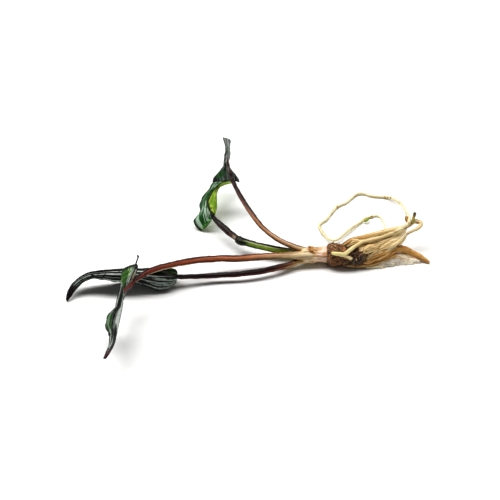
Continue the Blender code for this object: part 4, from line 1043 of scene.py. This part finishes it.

# The looks of stalks, as stalk_finish takes them. Their bands by side are partly the stalks' own colours and
# partly painted light: the dark bands at the top and the bottom are painted shade along the edges, the paler
# band below the top is a painted highlight line, and the red stalk's pale lower edge near its leaf is a
# painted highlight.
STALK_LOOKS = {
    "copper_stalk": (
        "#3a1810",
        (1.0, [(0.0, "#b89c6c"), (0.15, "#8a5c3a"), (0.4, "#5a3020"), (0.6, "#2c1412"), (1.0, "#120808")]),
        (0.66, [(0.0, "#e0cfa2"), (0.12, "#e2c09a"), (0.35, "#d8ae8a"), (0.5, "#b08064"), (0.62, "#5c3228"),
                (0.8, "#2c1414"), (1.0, "#1c0c0c")]),
        (0.12, [(0.0, "#cbb486"), (0.2, "#c09a72"), (0.4, "#b48058"), (0.6, "#a87048"), (0.78, "#6a4030"),
                (1.0, "#3a1c18")]),
        (-0.50, [(0.0, "#a88452"), (0.2, "#8a5a34"), (0.45, "#5c2c1a"), (0.7, "#200c0a"), (1.0, "#100505")])),
    "red_stalk": (
        "#5a2414",
        (1.0, [(0.0, "#c8b686"), (0.12, "#b99a6c"), (0.24, "#7a4326"), (0.4, "#3c140c"), (1.0, "#1a0806")]),
        (0.62, [(0.0, "#e6d4b0"), (0.12, "#dfc69c"), (0.22, "#cda27c"), (0.34, "#b87652"), (0.6, "#a85a34"),
                (0.85, "#883820"), (1.0, "#5a1e12")]),
        (-0.30, [(0.0, "#dcc8a0"), (0.15, "#cfb080"), (0.3, "#a8744a"), (0.5, "#8a4424"), (0.8, "#6e2a16"),
                 (1.0, "#4c180e")]),
        (-0.72, [(0.0, "#b8a878"), (0.2, "#a98658"), (0.4, "#6e3c20"), (0.60, "#5c2c1c"), (0.68, "#c8b090"),
                 (1.0, "#e0ceb0")])),
    "dark_stalk": (
        "#140606",
        (1.0, [(0.0, "#c4b684"), (0.10, "#a0784c"), (0.2, "#4a2418"), (0.3, "#180a0a"), (1.0, "#080404")]),
        (0.50, [(0.0, "#d2c592"), (0.10, "#bd9a64"), (0.2, "#6e4028"), (0.3, "#2a100e"), (1.0, "#100606")]),
        (-0.30, [(0.0, "#d8cc9a"), (0.14, "#c4a876"), (0.26, "#7e4c30"), (0.4, "#4c1a16"),
                 (1.0, "#3a1010")])),
    "dark_stalk_bend": (
        "#080303",
        (1.0, [(0.0, "#6a503a"), (0.1, "#20100e"), (1.0, "#0e0606")]),
        (0.45, [(0.0, "#d2bc9c"), (0.14, "#6a4838"), (0.26, "#2e1412"), (1.0, "#240e10")]),
        (-0.3, [(0.0, "#2a1612"), (0.5, "#120606"), (1.0, "#0c0404")])),
    "green_sheath": (
        "#2a3a12",
        (1.0, [(0.0, "#a8865c"), (0.12, "#3a2620"), (0.3, "#201618"), (0.9, "#141010"), (1.0, "#1a1210")]),
        (0.52, [(0.0, "#c2aa7c"), (0.15, "#8a8a58"), (0.3, "#b3bd86"), (0.6, "#c0c690"), (0.84, "#a3a878"),
                (0.9, "#23261a"), (1.0, "#14140e")]),
        (0.18, [(0.0, "#c4b078"), (0.12, "#a3b45c"), (0.3, "#9ab840"), (0.6, "#8cac32"), (0.78, "#648426"),
                (0.86, "#161f0c"), (1.0, "#0e100a")]),
        (-0.62, [(0.0, "#9a8850"), (0.15, "#5c7428"), (0.5, "#2c4412"), (0.8, "#0e140a"), (1.0, "#0a0c08")])),
}

# The looks of leaves, as leaf_finish takes them. Their streak colours are partly pale veins and partly a
# painted sheen of silver reflections.
LEAF_LOOKS = {
    "back_leaf": (
        ("#050805", "#46544a"), ("#0c160a", "#3e5238"),
        [(1, (0.10, -0.45), (0.08, 0.4), ("#0e300c", "#1f4e1a")),
         (1, (0.42, -0.4), (0.12, 0.8), ("#4a554e", "#d2dad4")),
         (1, (0.62, 0.2), (0.07, 0.7), ("#173c14", "#33682c")),
         (1, (0.80, 0.0), (0.10, 0.9), ("#343c36", "#c0cac2")),
         (1, (0.98, 0.0), (0.06, 1.8), ("#0a0e0a", "#202820"))],
        (4.4, 2.0, 0.50, 0.56), "#040504", 3.0, None, (0.74, 0.88)),
    # The folded leaf's bright yellow-green underside is partly its own paler green and partly a painted glow
    # of light shining through the leaf.
    "green_leaf": (
        ("#1c4a1a", "#a2bca4"), ("#6e9420", "#aac450"),
        [(1, (0.12, -0.7), (0.10, 0.6), ("#2c6e1e", "#78a860")),
         (1, (0.45, -0.9), (0.2, 0.3), ("#16401a", "#6c9470")),
         (1, (0.30, 0.1), (0.2, 0.5), ("#2a5c28", "#b4c8b4"))],
        (5.0, 2.6, 0.47, 0.55), "#081006", 11.0),
    "silver_leaf": (
        ("#060a07", "#a2aaa2"), ("#060a06", "#a0a8a0"),
        [(-1, (0.24, -0.72), (0.085, 0.80), ("#2c5614", "#7fa060")),
         (-1, (0.165, -0.50), (0.022, 0.60), ("#6a7468", "#c2cabe")),
         (-1, (0.09, -0.45), (0.055, 0.60), ("#6e6450", "#a89c84")),
         (-1, (0.10, -0.98), (0.05, 0.30), ("#2c160c", "#4e2c18")),
         (-1, (0.64, -0.68), (0.13, 0.24), ("#1b3c16", "#5c7c54")),
         # A near-white stripe along the middle of the underside: a painted highlight.
         (-1, (0.62, -0.30), (0.15, 0.12), ("#565c56", "#b0b4ac")),
         (-1, (0.98, 0.0), (0.10, 2.0), ("#241016", "#5a323a")),
         (1, (0.98, 0.0), (0.10, 2.0), ("#241016", "#5a323a"))],
        (5.0, 2.8, 0.515, 0.565), "#040604", 21.0, ((0.19, -0.6), (0.15, 0.9)), (0.82, 0.90)),
    "side_leaf": (
        ("#040604", "#b8c4ba"), ("#0c160c", "#4c6646"),
        [(1, (0.24, 0.35), (0.16, 0.42), ("#060a06", "#22301e")),
         (1, (0.20, -0.6), (0.20, 0.5), ("#020302", "#8a948c")),
         (1, (0.10, 0.35), (0.09, 0.55), ("#10280c", "#3c6030")),
         (1, (0.58, 0.1), (0.20, 0.6), ("#0a0e0b", "#c8cec8")),
         (1, (0.94, 0.0), (0.12, 2.0), ("#0c0608", "#2a1c20"))],
        (8.5, 2.4, 0.52, 0.57), "#030403", 33.0, None, (0.88, 0.95)),
}


def make_skins():
    skins = {}
    kinds = ((root_finish, ROOT_LOOKS), (stalk_finish, STALK_LOOKS), (leaf_finish, LEAF_LOOKS))
    for finish, looks in kinds:
        for name, look in looks.items():
            skins[name] = finish(name, *look)
    return skins


def build_stage():
    mesh = bpy.data.meshes.new("floor")
    corners = [(-1, -1), (1, -1), (1, 1), (-1, 1)]
    mesh.from_pydata([(x * FLOOR_REACH, y * FLOOR_REACH, 0) for x, y in corners], [], [(0, 1, 2, 3)])
    floor = place_object("floor", mesh)
    material = bpy.data.materials.new("pale_floor")
    material.use_nodes = True
    shader = material.node_tree.nodes["Principled BSDF"]
    shader.inputs["Roughness"].default_value = 0.6
    shader.inputs["Specular IOR Level"].default_value = 0.2
    shader.inputs["Base Color"].default_value = FLOOR_COLOUR
    mesh.materials.append(material)
    floor.location = (0, 0, -FLOOR_DROP)


def softbox(name, toward, distance, size, watts, colour):
    """A studio light, broad from left to right, that points at the plant."""
    lamp = bpy.data.lights.new(name, "AREA")
    lamp.shape = "RECTANGLE"
    lamp.size, lamp.size_y = size
    lamp.energy = watts
    lamp.color = colour
    thing = place_object(name, lamp)
    toward = Vector(toward).normalized()
    thing.location = Vector(LIGHT_AIM) + toward * distance
    wide = (Vector((1, 0, 0)) - toward * toward.x).normalized()
    thing.rotation_mode = "QUATERNION"
    thing.rotation_quaternion = Matrix((wide, toward.cross(wide), toward)).transposed().to_quaternion()


def build_light():
    """A long white light overhead, a small warmer one from the left, and faint light all round."""
    world = bpy.context.scene.world or bpy.data.worlds.new("studio")
    bpy.context.scene.world = world
    world.use_nodes = True
    back = world.node_tree.nodes["Background"]
    back.inputs["Color"].default_value = (1.0, 1.0, 1.0, 1.0)
    back.inputs["Strength"].default_value = 0.10
    softbox("overhead_softbox", toward=(-0.12, 0.26, 1.0), distance=0.75, size=(1.8, 0.30), watts=9.9,
            colour=(1.0, 1.0, 1.0))
    softbox("key_softbox", toward=(-0.50, 0.34, 1.0), distance=0.65, size=(0.35, 0.25), watts=0.9,
            colour=(1.0, 0.985, 0.96))
    view = bpy.context.scene.view_settings
    view.view_transform = "Standard"
    view.look = "Medium High Contrast"


def build_camera():
    lens = bpy.data.cameras.new("camera")
    lens.lens = CAMERA_LENS
    lens.sensor_width = CAMERA_SENSOR
    lens.clip_start = 0.01
    lens.clip_end = 20.0
    camera = place_object("camera", lens)
    back = Vector((0.0, -math.cos(CAMERA_ELEVATION), math.sin(CAMERA_ELEVATION)))
    camera.location = Vector(CAMERA_TARGET) + back * CAMERA_DISTANCE
    camera.rotation_mode = "QUATERNION"
    camera.rotation_quaternion = back.to_track_quat("Z", "Y")
    bpy.context.scene.camera = camera


draws = random.Random(7)
skins = make_skins()
build_camera()
build_light()
build_stage()
build_rhizome(bark_finish(), skins["husk"], draws)
build_crown(crown_finish(), skins["torn_rim"], draws)
build_stalks(skins)
build_blades(skins)
build_roots(skins)
build_trifles(skins, draws)

bpy.context.view_layer.update()
